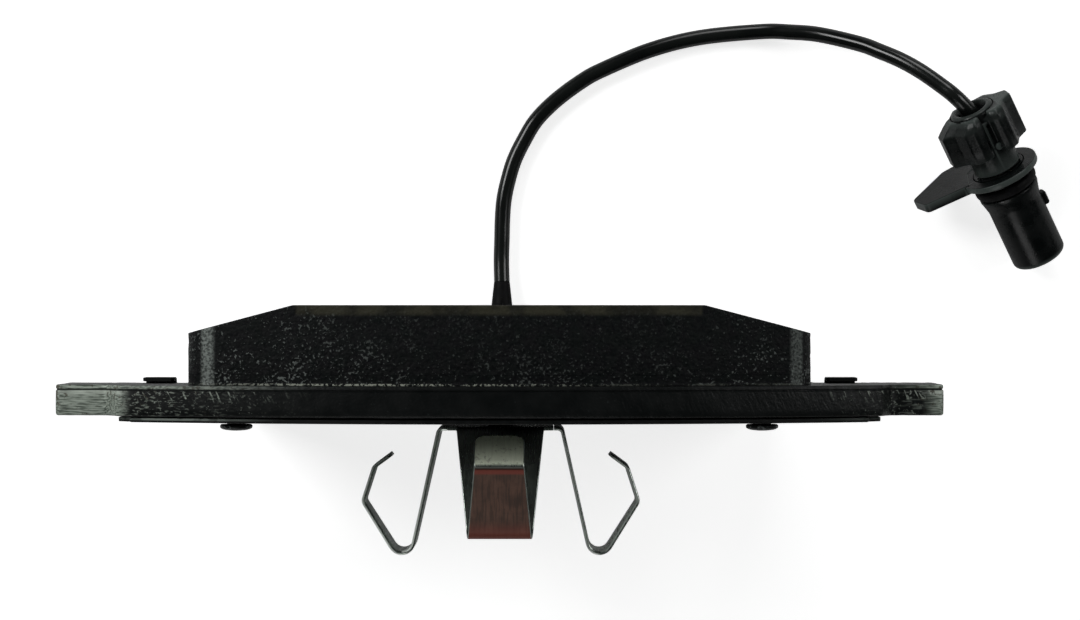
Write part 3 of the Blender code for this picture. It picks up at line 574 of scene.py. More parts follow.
# ---------------------------------------------------------------- finishes
def plate_paint(tree, place):
    """Black paint on pressed steel. Towards the ends of the ears the rim is pale bare steel, partly scraped
    steel and partly a painted reflection, and short slanted tears run along its front part. A pale line just
    behind the groove is a painted highlight."""
    parts = node(tree, "SeparateXYZ", {0: place}).outputs
    rim = mask_of(tree, "rim")
    roll = mask_of(tree, "roll")
    left = ramped(tree, parts[0], -0.0635, -0.0665)
    right = ramped(tree, parts[0], 0.0735, 0.0775)
    near_left = ramped(tree, parts[0], -0.030, -0.062)
    near_right = times(tree, ramped(tree, parts[0], 0.050, 0.074), 0.75)
    near = most(tree, near_left, near_right)
    ends = most(tree, left, right)
    lean = node(tree, "CombineXYZ", {0: maths(tree, "MULTIPLY", parts[1], 0.45)}).outputs[0]
    leaned = node(tree, "VectorMath", {0: place, 1: lean}, operation="ADD").outputs[0]
    tears = effect(tree, STROKES, Vector=leaned, Squeeze=(1.0, 0.22, 0.3), Scale=1500.0, Level=0.585)
    front_part = band(
        tree,
        parts[1],
        (PLATE_FRONT - 0.0032, PLATE_FRONT - 0.0020),
        (PLATE_FRONT - 0.0006, PLATE_FRONT - 0.0011),
    )
    tear_mask = times(tree, tears["Mask"], front_part, near, 0.9)
    lines = effect(tree, STROKES, Vector=place, Squeeze=(0.16, 1.0, 1.0), Scale=3000.0, Level=0.55)
    specks = effect(tree, FLECKS, Vector=place, Scale=2200.0, Level=0.63, Patches=260.0, Patchiness=0.35)
    line_mask = times(tree, lines["Mask"], maths(tree, "POWER", near, 3.0), 0.5)
    speck_mask = times(tree, specks["Mask"], near, 0.6)
    grain = effect(tree, STROKES, Vector=place, Squeeze=(0.10, 1.0, 1.0), Scale=3900.0, Level=0.58)
    # Bare steel at the ear ends: partly scraped steel with fine lines, partly a painted reflection.
    bare_steel_and_reflection = times(tree, ends, ramped(tree, grain["Height"], 0.30, 0.46, 0.72, 1.0))
    roll_bare = times(tree, roll, most(tree, near_left, ramped(tree, parts[0], 0.066, 0.077)), 0.6)
    shown = most(tree, most(tree, tear_mask, line_mask), speck_mask)
    shown = most(tree, shown, most(tree, bare_steel_and_reflection, roll_bare))
    groove = band(
        tree,
        parts[1],
        (PLATE_FRONT - 0.00104, PLATE_FRONT - 0.00094),
        (PLATE_FRONT - 0.00066, PLATE_FRONT - 0.00076),
    )
    shown = times(tree, shown, rim, ramped(tree, groove, 0.0, 1.0, 1.0, 0.1))
    rust = effect(tree, FLECKS, Vector=place, Scale=1300.0, Level=0.6, Patches=300.0, Patchiness=0.5)
    steel = blended(tree, ramped(tree, grain["Height"], 0.36, 0.64), (0.12, 0.145, 0.12), (0.46, 0.52, 0.45))
    # Painted highlight: a pale steel line just behind the groove on the rim's front part.
    crest = band(
        tree,
        parts[1],
        (PLATE_FRONT - 0.0019, PLATE_FRONT - 0.0014),
        (PLATE_FRONT - 0.0009, PLATE_FRONT - 0.0011),
    )
    steel = blended(tree, times(tree, crest, 0.6), steel, (0.66, 0.72, 0.64))
    steel = blended(tree, times(tree, rust["Mask"], 0.75), steel, (0.075, 0.060, 0.040))
    paint = mottled(tree, place, 260.0, (0.002, 0.003, 0.003), (0.006, 0.007, 0.007))
    dust = effect(tree, FLECKS, Vector=place, Scale=1800.0, Level=0.69, Patches=200.0, Patchiness=0.2)
    paint = blended(tree, times(tree, dust["Mask"], 0.25), paint["Colour"], (0.06, 0.07, 0.07))
    colour = blended(tree, shown, paint, steel)
    rough = ramped(tree, shown, 0.0, 1.0, 0.40, 0.50)
    height = maths(tree, "ADD", tears["Height"], maths(tree, "MULTIPLY", specks["Height"], 0.6))
    height = maths(tree, "SUBTRACT", height, times(tree, shown, 0.8))
    metal = times(tree, shown, 0.15)
    return {"Base Color": colour, "Roughness": rough, "Metallic": metal}, height, 0.00008


def compound_skin(tree, place, parts):
    """Black moulded compound: fine grain with dark blue and violet tints, and light chips that are dense near
    the plate and at the left end.
    A granular pale band down each rounded outer corner, stronger at the left, is a painted highlight. Gives
    the colour and the chips."""
    tint = mottled(tree, place, 420.0, (0.002, 0.004, 0.004), (0.005, 0.004, 0.006))
    tone = mottled(tree, place, 1800.0, (0.001, 0.002, 0.002), (0.010, 0.012, 0.011))
    colour = blended(tree, 0.5, tint["Colour"], tone["Colour"])
    low = ramped(tree, parts[1], -0.004, -0.0125)
    left = ramped(tree, parts[0], -0.005, -0.047)
    right = ramped(tree, parts[0], 0.030, 0.050, 0.0, 0.6)
    crowd = most(tree, left, right)
    crowd = maths(tree, "ADD", times(tree, low, 0.35), times(tree, crowd, 0.65))
    chips = effect(tree, FLECKS, Vector=place, Scale=2100.0, Level=0.61, Patches=190.0, Patchiness=0.34)
    big = effect(tree, FLECKS, Vector=place, Scale=1350.0, Level=0.66, Patches=150.0, Patchiness=0.3)
    chip_mask = times(tree, chips["Mask"], ramped(tree, crowd, 0.0, 1.0, 0.10, 0.85))
    big_mask = times(tree, big["Mask"], ramped(tree, crowd, 0.0, 1.0, 0.20, 0.7))
    colour = blended(tree, most(tree, chip_mask, big_mask), colour, (0.17, 0.19, 0.18))
    # Painted highlight: granular pale bands down the rounded corners at both ends of the block.
    corner_highlight_left = band(tree, parts[0], (-0.0518, -0.0510), (-0.0488, -0.0500))
    corner_highlight_right = band(tree, parts[0], (0.0500, 0.0510), (0.0528, 0.0522))
    corner_highlights = most(tree, corner_highlight_left, times(tree, corner_highlight_right, 0.5))
    grit = ramped(tree, chips["Height"], 0.36, 0.60, 0.25, 1.0)
    return blended(tree, times(tree, corner_highlights, grit, 0.9), colour, (0.27, 0.30, 0.28)), chips, tone


def friction_compound(tree, place):
    """The compound, with an olive scorched strip along the wear face and a ground wear face."""
    parts = node(tree, "SeparateXYZ", {0: place}).outputs
    colour, chips, tone = compound_skin(tree, place, parts)
    scorch = ramped(tree, parts[1], -0.0021, -0.0012)
    patch = ramped(tree, effect(tree, MOTTLE, Vector=place, Scale=150.0)["Value"], 0.1, 0.7, 0.35, 1.0)
    flat_top = ramped(tree, maths(tree, "ABSOLUTE", parts[0]), 0.0352, 0.0345)
    colour = blended(tree, times(tree, scorch, patch, flat_top, 0.85), colour, (0.045, 0.043, 0.028))
    face = ramped(tree, parts[1], -0.00016, -0.00004)
    ground = effect(tree, STROKES, Vector=place, Squeeze=(1.0, 1.0, 0.12), Scale=900.0, Level=0.56)
    colour = blended(tree, times(tree, face, 0.8), colour, (0.022, 0.021, 0.019))
    colour = blended(tree, times(tree, face, ground["Mask"], 0.5), colour, (0.065, 0.062, 0.056))
    rough = ramped(tree, chips["Height"], 0.3, 0.7, 0.42, 0.66)
    height = maths(tree, "ADD", chips["Height"], maths(tree, "MULTIPLY", tone["Value"], 0.4))
    return {"Base Color": colour, "Roughness": rough}, height, 0.00014


def bond_layer(tree, place):
    """The same compound, with a pale broken line where the layer meets the plate: a painted highlight of the
    plate's edge, strongest a little left of the middle.
    """
    parts = node(tree, "SeparateXYZ", {0: place}).outputs
    colour, chips, _ = compound_skin(tree, place, parts)
    # Painted highlight: a pale broken line along the joint with the plate.
    plate_joint_highlight = ramped(tree, parts[1], PLATE_FRONT + 0.00045, PLATE_FRONT + 0.00025)
    broken = effect(tree, FLECKS, Vector=place, Scale=2300.0, Level=0.50, Patches=170.0, Patchiness=0.5)
    off_middle = maths(tree, "ABSOLUTE", maths(tree, "ADD", parts[0], 0.018))
    middle = ramped(tree, off_middle, 0.040, 0.014, 0.15, 1.0)
    colour = blended(tree, times(tree, plate_joint_highlight, broken["Mask"], middle), colour, (0.32, 0.34, 0.29))
    return {"Base Color": colour, "Roughness": 0.6}, chips["Height"], 0.00014


def shim_coating(tree, place):
    """Dull black rubber coating with a fine leather-like skin; the sheared rim shows steel."""
    parts = node(tree, "SeparateXYZ", {0: place}).outputs
    skin = mottled(tree, place, 700.0, (0.003, 0.004, 0.004), (0.008, 0.009, 0.009))
    smudge = effect(tree, MOTTLE, Vector=place, Scale=70.0)
    rubs = effect(tree, STROKES, Vector=place, Squeeze=(0.2, 1.0, 0.9), Scale=420.0, Level=0.66)
    colour = blended(tree, times(tree, rubs["Mask"], 0.12), skin["Colour"], (0.10, 0.11, 0.11))
    worn = effect(tree, FLECKS, Vector=place, Scale=420.0, Level=0.5, Patches=120.0, Patchiness=0.5)
    ends = most(tree, ramped(tree, parts[0], -0.036, -0.056), ramped(tree, parts[0], 0.052, 0.068, 0, 0.35))
    steel = times(tree, mask_of(tree, "rim"), ends, ramped(tree, worn["Height"], 0.36, 0.5, 0.4, 1.0))
    steel = times(tree, steel, ramped(tree, parts[1], SHIM_BACK + 0.00028, SHIM_BACK + 0.00050))
    colour = blended(tree, steel, colour, (0.26, 0.30, 0.27))
    rough = ramped(tree, smudge["Value"], 0.0, 1.0, 0.42, 0.6)
    return {"Base Color": colour, "Roughness": rough}, worn["Height"], 0.00003


def blackened_rivet(tree, place):
    """Blackened steel with small bright rubs on the crown of the head."""
    base = mottled(tree, place, 800.0, (0.006, 0.008, 0.008), (0.024, 0.027, 0.027))
    rubs = effect(tree, FLECKS, Vector=place, Scale=1500.0, Level=0.6, Patches=500.0, Patchiness=0.3)
    colour = blended(tree, times(tree, rubs["Mask"], 0.6), base["Colour"], (0.22, 0.24, 0.24))
    rough = ramped(tree, base["Value"], 0.0, 1.0, 0.32, 0.5)
    return {"Base Color": colour, "Roughness": rough, "Metallic": 0.6}, rubs["Height"], 0.00005


def spring_steel(tree, place):
    """Bright rolled spring steel with fine lines along the strip. The outward face of the top finger carries
    a copper-brown heat tint, redder at both of its ends and darkened by a painted shade line just before the
    crest, and past the crest its tip is a pale greenish grey that is partly a painted highlight.
    The left half of a side finger's sheared edge is painted light as a highlight."""
    along = mask_of(tree, "along")
    tint = mask_of(tree, "tint")
    tip = mask_of(tree, "tip")
    burnish = mask_of(tree, "burnish")
    lines = effect(tree, STROKES, Vector=place, Squeeze=(1.0, 0.07, 0.07), Scale=3400.0, Level=0.5)
    tone = mottled(tree, place, 240.0, (0.36, 0.40, 0.37), (0.50, 0.55, 0.50))
    colour = blended(tree, times(tree, lines["Mask"], 0.10), tone["Colour"], (0.24, 0.27, 0.25))
    brown = mottled(tree, place, 330.0, (0.070, 0.034, 0.022), (0.120, 0.058, 0.038))
    brown = blended(tree, times(tree, lines["Mask"], 0.45), brown["Colour"], (0.035, 0.026, 0.020))
    at_bend = ramped(tree, along, 0.34, 0.02)
    at_crest = ramped(tree, along, 0.895, 0.925)
    brown = blended(tree, times(tree, most(tree, at_bend, at_crest), 0.8), brown, (0.24, 0.045, 0.028))
    # Painted shade: a dark line along the bend just before the crest.
    brown = blended(tree, times(tree, ramped(tree, along, 0.955, 0.975), 0.85), brown, (0.012, 0.012, 0.010))
    colour = blended(tree, tint, colour, brown)
    specks = effect(tree, FLECKS, Vector=place, Scale=1500.0, Level=0.6, Patches=300.0, Patchiness=0.3)
    # The pale greenish tip colour is partly a painted highlight.
    pale = blended(tree, times(tree, specks["Mask"], 0.5), (0.80, 0.86, 0.68), (0.34, 0.36, 0.27))
    colour = blended(tree, tip, colour, pale)
    # Painted highlight on the left half of each side finger's rounded edge.
    colour = blended(tree, burnish, colour, (0.80, 0.86, 0.80))
    rough = ramped(tree, lines["Height"], 0.3, 0.7, 0.24, 0.34)
    rough = maths(tree, "ADD", rough, times(tree, tint, 0.12))
    metal = ramped(tree, most(tree, burnish, most(tree, tint, tip)), 0.0, 1.0, 1.0, 0.05)
    return {"Base Color": colour, "Roughness": rough, "Metallic": metal}, lines["Height"], 0.000004


def moulded_nylon(tree, place):
    """Black glass-filled nylon: satin, with a fine grain, and its edges painted paler as a highlight."""
    base = mottled(tree, place, 330.0, (0.002, 0.003, 0.003), (0.006, 0.007, 0.007))
    grain = effect(tree, FLECKS, Vector=place, Scale=2600.0, Level=0.66, Patches=300.0, Patchiness=0.2)
    # Painted highlight along the edges that the pieces' edge masks mark.
    edge = effect(tree, EDGE_HIGHLIGHT, Vector=place, Edge=mask_of(tree, "edge"), Scale=900.0, Amount=0.70)
    colour = blended(tree, times(tree, grain["Mask"], 0.12), base["Colour"], (0.08, 0.09, 0.09))
    colour = blended(tree, times(tree, edge["Mask"], 0.5), colour, (0.13, 0.155, 0.145))
    rough = ramped(tree, base["Value"], 0.0, 1.0, 0.24, 0.32)
    return {"Base Color": colour, "Roughness": rough}, grain["Height"], 0.00003


def soft_rubber(tree, place):
    """Matt black rubber with a dusty bloom."""
    base = mottled(tree, place, 500.0, (0.003, 0.003, 0.003), (0.008, 0.008, 0.009))
    bloom = effect(tree, FLECKS, Vector=place, Scale=1400.0, Level=0.62, Patches=220.0, Patchiness=0.3)
    colour = blended(tree, times(tree, bloom["Mask"], 0.15), base["Colour"], (0.07, 0.075, 0.07))
    rough = ramped(tree, base["Value"], 0.0, 1.0, 0.5, 0.66)
    return {"Base Color": colour, "Roughness": rough}, bloom["Height"], 0.00003


def cable_jacket(tree, place):
    """Glossy black jacket: faint extrusion ripple, a few scuffs, slow changes of gloss."""
    base = mottled(tree, place, 60.0, (0.004, 0.005, 0.005), (0.010, 0.012, 0.011))
    scuffs = effect(tree, FLECKS, Vector=place, Scale=1500.0, Level=0.68, Patches=150.0, Patchiness=0.3)
    colour = blended(tree, times(tree, scuffs["Mask"], 0.12), base["Colour"], (0.05, 0.06, 0.055))
    rough = ramped(tree, base["Value"], 0.0, 1.0, 0.17, 0.23)
    return {"Base Color": colour, "Roughness": rough}, base["Value"], 0.000001


def speckled(dark, light, scale, low_rough, high_rough, depth=0.00003, metallic=0.0):
    """A finish of two close tones with a fine grain, for the small pieces."""

    def build(tree, place):
        base = mottled(tree, place, scale, dark, light)
        grain = effect(tree, FLECKS, Vector=place, Scale=scale * 4, Level=0.63, Patches=scale, Patchiness=0.2)
        colour = blended(tree, times(tree, grain["Mask"], 0.4), base["Colour"], light)
        rough = ramped(tree, base["Value"], 0.0, 1.0, low_rough, high_rough)
        return {"Base Color": colour, "Roughness": rough, "Metallic": metallic}, grain["Height"], depth

    return build


PLATE_PAINT = finish("plate_paint", plate_paint, specular=0.22)
FRICTION = finish("friction_compound", friction_compound, specular=0.12)
BOND = finish("bond_layer", bond_layer, specular=0.1)
SHIM = finish("shim_coating", shim_coating, specular=0.2)
RIVET = finish("blackened_rivet", blackened_rivet)
SPRING = finish("spring_steel", spring_steel, specular=0.2)
NYLON = finish("moulded_nylon", moulded_nylon, specular=0.2)
RUBBER = finish("soft_rubber", soft_rubber, specular=0.1)
JACKET = finish("cable_jacket", cable_jacket)
THERMOSET = finish("brown_thermoset", speckled((0.10, 0.04, 0.015), (0.22, 0.10, 0.045), 600.0, 0.5, 0.65))
CARRIER = finish("grey_nylon", speckled((0.07, 0.075, 0.075), (0.14, 0.15, 0.15), 500.0, 0.42, 0.55))
COPPER = speckled((0.50, 0.22, 0.12), (0.80, 0.42, 0.26), 900.0, 0.22, 0.4, metallic=1.0)
COPPER = finish("copper_wire", COPPER)
BRASS = speckled((0.55, 0.40, 0.18), (0.80, 0.64, 0.34), 800.0, 0.2, 0.36, metallic=1.0)
BRASS = finish("brass_contact", BRASS)
CORE = finish("core_insulation", speckled((0.20, 0.025, 0.02), (0.36, 0.05, 0.04), 500.0, 0.4, 0.55))


# ---------------------------------------------------------------- pad
def plate_half():
    """Right half of the plate's outline, from the arch to the crown of the outer edge."""
    half = crowned(POCKET_HALF + MM, ARCH_HALF_SPAN, ARCH_TOP, arc_radius(ARCH_HALF_SPAN, ARCH_TOP))
    width, depth = RELIEF
    half += [
        (FOOT_X, 0, 0.002),
        (*FLANK, 0.006),
        (NECK_X, EAR_LOW + depth, 0.0004),
        (NECK_X + width, EAR_LOW + depth, 0.0004),
        (NECK_X + width, EAR_LOW, 0.0002),
        (EAR_X, EAR_LOW, 0.001),
        (EAR_X, EAR_TOP, 0.001),
        (SHOULDER_FOOT_X, EAR_TOP, 0.0020),
    ]
    return half + crowned(SHOULDER_X, 0, PLATE_TOP, PLATE_ARC_R)


def backing_plate():
    """The plate: its front edge is rolled over by the press, a fine groove follows, and its
    rear edge is a small burr. The roll mask is 1 on the rolled strip."""
    outline = evenly(rounded(notched(plate_half(), ARCH_TOP - 0.00035)), 0.00035)
    section = [
        (0.0, 0.00028),
        (0.00008, 0.00014),
        (0.00030, 0.00008),
        (0.00062, 0.00005),
        (0.00076, 0.00022),
        (0.00090, 0.00022),
        (0.00102, 0.00002),
        (0.0019, 0.0),
        (0.0029, 0.0),
        (0.0040, 0.0),
        (0.00505, 0.00003),
        (0.00526, 0.00014),
        (PLATE_FRONT - PLATE_BACK, 0.00036),
    ]
    points, faces, masks = slab(outline, [(PLATE_FRONT - d, i) for d, i in section])
    depth = PLATE_FRONT - points[:, 1]
    masks["roll"] = (depth < 0.0007).astype(float)
    made = piece("backing_plate", (points, faces, masks), PLATE_PAINT)

    def tears(spots):
        """Shallow dents, deepest along the sheared rim."""
        dents = lattice_noise(spots * (1, 0.5, 1), 0.0011, 3)
        waves = lattice_noise(spots, 0.006, 4)
        return -0.00005 * np.clip(dents, 0, 1) - 0.00004 * np.clip(waves, 0, 1)

    roughen(made, tears)
    flat_normals(made)
    return made


def block_line(x):
    """Heights of the block's inner and outer edge at x: the inner edge is an arch, then the
    slanted flank; the outer edge is the crowned arc with a round corner at each end."""
    span = np.abs(x)
    foot_x, foot_z = FRICTION_FOOT
    arch_r = arc_radius(foot_x, FRICTION_ARCH - foot_z)
    arch = FRICTION_ARCH - arch_r + np.sqrt(arch_r**2 - np.minimum(span, foot_x) ** 2)
    crown = FRICTION_TOP - FRICTION_ARC_R + np.sqrt(FRICTION_ARC_R**2 - span**2)
    flank_top = crown.min() * 0.6
    flank = foot_z + (span - foot_x) / (FRICTION_X - foot_x) * (flank_top - foot_z)
    bottom = np.where(span > foot_x, flank, arch)
    over = np.clip(span - (FRICTION_X - FRICTION_CORNER_R), 0, FRICTION_CORNER_R)
    return bottom, crown - FRICTION_CORNER_R + np.sqrt(FRICTION_CORNER_R**2 - over**2)


def block_shell(front, back, columns, edge, walls):
    """The block as rings across X. Each ring goes up the front face, round a quarter-arc, back
    along the outer edge, down the rear face and forward along the inner edge to the start.
    front gives the depth of the front face at each x."""
    inner = np.linspace(0, FRICTION_X - 0.0075, columns[0], endpoint=False)
    outer = np.linspace(FRICTION_X - 0.0075, FRICTION_X, columns[1])
    x = np.r_[-outer[::-1], -inner[:0:-1], inner, outer]
    low, high = block_line(x)
    y_front = front(x)
    turn = np.linspace(0, math.pi / 2, 6)
    up = np.linspace(0, 1, walls[0])
    across = np.linspace(0, 1, walls[1])
    y_parts = []
    z_parts = []
    z_low = (low + edge)[:, None]
    z_high = (high - edge)[:, None]
    y_edge = (y_front - edge)[:, None]
    y_parts.append(np.repeat(y_front[:, None], len(up), 1))
    z_parts.append(z_low + (z_high - z_low) * up)
    y_parts.append(y_edge + edge * np.cos(turn[1:]))
    z_parts.append(z_high + edge * np.sin(turn[1:]))
    y_parts.append(y_edge + (back - y_edge) * across[1:])
    z_parts.append(np.repeat(high[:, None], len(across) - 1, 1))
    y_parts.append(np.full((len(x), 5), back))
    z_parts.append(high[:, None] + (low - high)[:, None] * np.linspace(0, 1, 7)[1:-1])
    y_parts.append(back + (y_edge - back) * across[:-1])
    z_parts.append(np.repeat(low[:, None], len(across) - 1, 1))
    y_parts.append(y_edge + edge * np.sin(turn[:-1]))
    z_parts.append(z_low - edge * np.cos(turn[:-1]))
    y = np.concatenate(y_parts, 1)
    z = np.concatenate(z_parts, 1)
    return shell(np.stack([np.broadcast_to(x[:, None], y.shape), y, z], -1))


def chamfered(x):
    """Depth of the wear face at x: flat in the middle, then falling evenly to each end."""
    over = np.clip(np.abs(x) - CHAMFER_START, 0, None)
    return -CHAMFER_DEPTH * over / (FRICTION_X - CHAMFER_START)


def pocket(top=POCKET_TOP, front=POCKET_FRONT):
    """The pocket of the wear sensor, open at the foot."""
    low = (SENSOR_X - POCKET_HALF, PLATE_BACK - 0.002, -0.002)
    return box(low, (SENSOR_X + POCKET_HALF, front, top))


def friction_block():
    """Moulded friction block with a pitted, grainy skin."""
    back = LAYER_HIGH.y + 0.00001
    made = block_shell(chamfered, back, (150, 44), 0.0003, (26, 44))
    made = piece("friction_block", made, FRICTION, crease=50)

    def grain(spots):
        """Lumps of about a millimetre with sharper pits between them, inwards only."""
        lumps = lattice_noise(spots, 0.0016, 11)
        pits = np.clip(lattice_noise(spots, 0.0008, 12), 0, 1) ** 2
        skin = np.clip(-spots[:, 1] / 0.0004, 0, 1)
        return -(0.00004 * (lumps + 1) + 0.00012 * pits) * skin

    roughen(made, grain, (1, 0, 1))
    carve(made, pocket())
    return made


def underlayer():
    """Bond layer between block and plate, with an uneven bead of squeezed-out compound at the plate."""

    def level(x):
        """Depth of the layer's front face: the same everywhere."""
        return np.full(len(x), LAYER_HIGH.y)

    made = block_shell(level, PLATE_FRONT + 0.00001, (150, 44), 0.00002, (8, 12))
    made = piece("underlayer", made, BOND, crease=50)

    def bead(spots):
        """A bead that swells and thins along the joint, on the side of the plate."""
        near = np.clip((PLATE_FRONT + 0.0005 - spots[:, 1]) / 0.0003, 0, 1)
        swell = 0.5 + 0.5 * lattice_noise(spots, 0.0022, 21)
        return 0.00020 * near * swell - 0.00004 * (1 + lattice_noise(spots, 0.0016, 22))

    roughen(made, bead, (1, 0, 1))
    carve(made, pocket(front=PLATE_FRONT + 0.004))
    return made


def shim_half():
    """Right half of the shim's outline: the plate's, drawn in and cut short on the ear."""
    inset = SHIM_INSET
    arch_r = arc_radius(ARCH_HALF_SPAN, ARCH_TOP)
    half = crowned(POCKET_HALF + MM, ARCH_HALF_SPAN - inset, ARCH_TOP + inset, arch_r)
    half += [
        (FOOT_X - inset, inset, 0.002),
        (FLANK[0] - inset, FLANK[1], 0.006),
        (NECK_X - inset, EAR_LOW + 2 * inset, 0.0005),
        (HOOK_X[0], EAR_LOW + 2 * inset, 0),
        (HOOK_X[0], HOOK_SEAT, 0),
        (HOOK_X[1], HOOK_SEAT, 0),
        (HOOK_X[1], EAR_LOW + 2 * inset, 0),
        (SHIM_END_X, EAR_LOW + 2 * inset, 0.001),
        (SHIM_END_X, EAR_TOP - inset, 0.0005),
        (SHOULDER_X - 2 * inset, EAR_TOP + inset, 0.0005),
    ]
    return half + crowned(SHOULDER_X - 2.5 * inset, 0, PLATE_TOP - inset, PLATE_ARC_R - inset)


def bar(path, half_widths, thickness, upright=False, edge=0.00018, centre=0.0):
    """A flat bar bent along a path. At each point the ring is a rectangle with round corners,
    set square to the path. Upright paths are in Y and Z, the others in X and Y. Also gives each
    point's share of the path's length."""
    way = np.gradient(path, axis=0)
    way /= np.linalg.norm(way, axis=1, keepdims=True)
    side = np.stack([-way[:, 1], way[:, 0]], 1)
    turn = np.linspace(0, math.pi / 2, 4)
    across = []
    through = []
    half = np.broadcast_to(np.asarray(half_widths, float), len(path))[:, None]
    for quarter, (sign_a, sign_t) in enumerate(((1, 1), (-1, 1), (-1, -1), (1, -1))):
        angle = turn + quarter * math.pi / 2
        across.append(sign_a * (half - edge) + edge * np.cos(angle))
        lift = sign_t * (thickness / 2 - edge) + edge * np.sin(angle)
        through.append(np.broadcast_to(lift, across[-1].shape))
    across = np.concatenate(across, 1)
    through = np.concatenate(through, 1)
    a = path[:, 0, None] + side[:, 0, None] * through
    b = path[:, 1, None] + side[:, 1, None] * through
    w = across + centre
    grid = np.stack([w, a, b] if upright else [a, b, w], -1)
    run = np.r_[0, np.cumsum(np.linalg.norm(np.diff(path, axis=0), axis=1))]
    return grid, run / run[-1]


def damping_shim():
    """Thin shim, with a hook bent forward under each ear and up its front."""
    outline = evenly(rounded(notched(shim_half(), ARCH_TOP + SHIM_INSET - 0.00035)), 0.0004)
    made = slab(outline, edged(SHIM_FRONT, SHIM_BACK, 0.00015, 3))
    made = piece("damping_shim", made, SHIM)
    middle = (SHIM_FRONT + SHIM_BACK) / 2
    under = HOOK_SEAT - HOOK_THICKNESS / 2
    front = PLATE_FRONT + GAP + HOOK_THICKNESS / 2
    corners = [
        (middle, HOOK_SEAT + HOOK_THICKNESS, 0),
        (middle, under, HOOK_THICKNESS),
        (front, under, HOOK_THICKNESS),
        (front, under + HOOK_RISE, 0),
    ]
    path = evenly(rounded(corners, False), 0.0003, False)
    width = (HOOK_X[1] - HOOK_X[0]) / 2 - 0.0001
    run = np.linspace(0, 1, len(path))
    widths = width - 0.0005 * np.clip((run - 0.94) / 0.06, 0, 1) ** 2
    for side in (-1, 1):
        middle_x = side * (HOOK_X[0] + HOOK_X[1]) / 2
        hook, _ = bar(path, widths, HOOK_THICKNESS, True, centre=middle_x)
        carve(made, shell(hook, rim=0.6), "UNION")
    flat_normals(made)
    return made


def rivet(name, head_r, head, shank_r, seat, end, x, z, shoulder=()):
    """Rivet along Y: a low dome with a rolled rim and a shallow set mark, on a plain shank. A
    shoulder, given as (radius, front y, back y), holds the next piece off."""
    turn = np.linspace(0, math.pi / 2, 8)
    rim = head * 0.42
    dome = [(head_r * math.cos(t) ** 0.7, rim + (head - rim) * math.sin(t)) for t in turn[:-1]]
    profile = [(shank_r, seat - end)]
    if shoulder:
        radius, front, back = shoulder
        profile += [(shank_r, seat - front), (radius, seat - front)]
        profile += [(radius, seat - back), (shank_r, seat - back)]
    profile += [(shank_r, 0), (head_r - 0.0002, 0), (head_r, 0.0002)]
    profile += [(r, d) for r, d in dome if r > head_r * 0.35]
    profile += [(head_r * 0.3, head), (head_r * 0.24, head - 0.00012), (head_r * 0.02, head - 0.0002)]
    made = turned(profile, 48)
    made = shifted(made, (x, seat, z), Matrix.Rotation(math.pi / 2, 3, "X"))
    return piece(name, made, RIVET)


# ---------------------------------------------------------------- spring clip
def finger_path(corners):
    """A finger's centre line, with points close enough for its bends to look round."""
    return evenly(rounded(corners, False, 10), 0.00035, False)


SIDE_FINGER = finger_path(
    [
        (CLIP_ARM + HINGE_GAP, CLIP_Y, 0),
        (0.0110, CLIP_Y, 0.0010),
        (0.0168, -0.0480, 0.0022),
        (0.0248, -0.0353, 0.0012),
        (0.0228, -0.0291, 0.001),
        (0.0202, -0.0272, 0),
        (0.0197, -0.0268, 0),
    ]
)
TOP_FINGER = finger_path(
    [
        (CLIP_Y, CLIP_ARM + HINGE_GAP, 0),
        (CLIP_Y, 0.0110, 0.0010),
        (-0.04485, 0.0172, 0.0021),
        (-0.0277, 0.0248, 0.0012),
        (-0.0236, 0.0207, 0),
        (-0.0230, 0.0202, 0),
    ]
)


def finger_widths(path, axis):
    """Half widths along a finger: an even taper to the far bend, a second one to the crest, and
    the tip's corners rounded by a quarter-circle. Also gives the bend's share of the length."""
    run = np.r_[0, np.cumsum(np.linalg.norm(np.diff(path, axis=0), axis=1))]
    bend = run[np.argmin(path[:, axis])]
    first = CLIP_HALF_WIDTH + (BEND_HALF_WIDTH - CLIP_HALF_WIDTH) * run / bend
    crest = run[np.argmax(path[:, 1 - axis])]
    last = BEND_HALF_WIDTH + (TIP_HALF_WIDTH - BEND_HALF_WIDTH) * np.clip((run - bend) / (crest - bend), 0, 1)
    width = np.where(run < bend, first, last)
    left = np.clip(TIP_ROUND - (run[-1] - run), 0, TIP_ROUND)
    width -= TIP_ROUND - np.sqrt(TIP_ROUND**2 - left**2)
    return width, bend / run[-1]


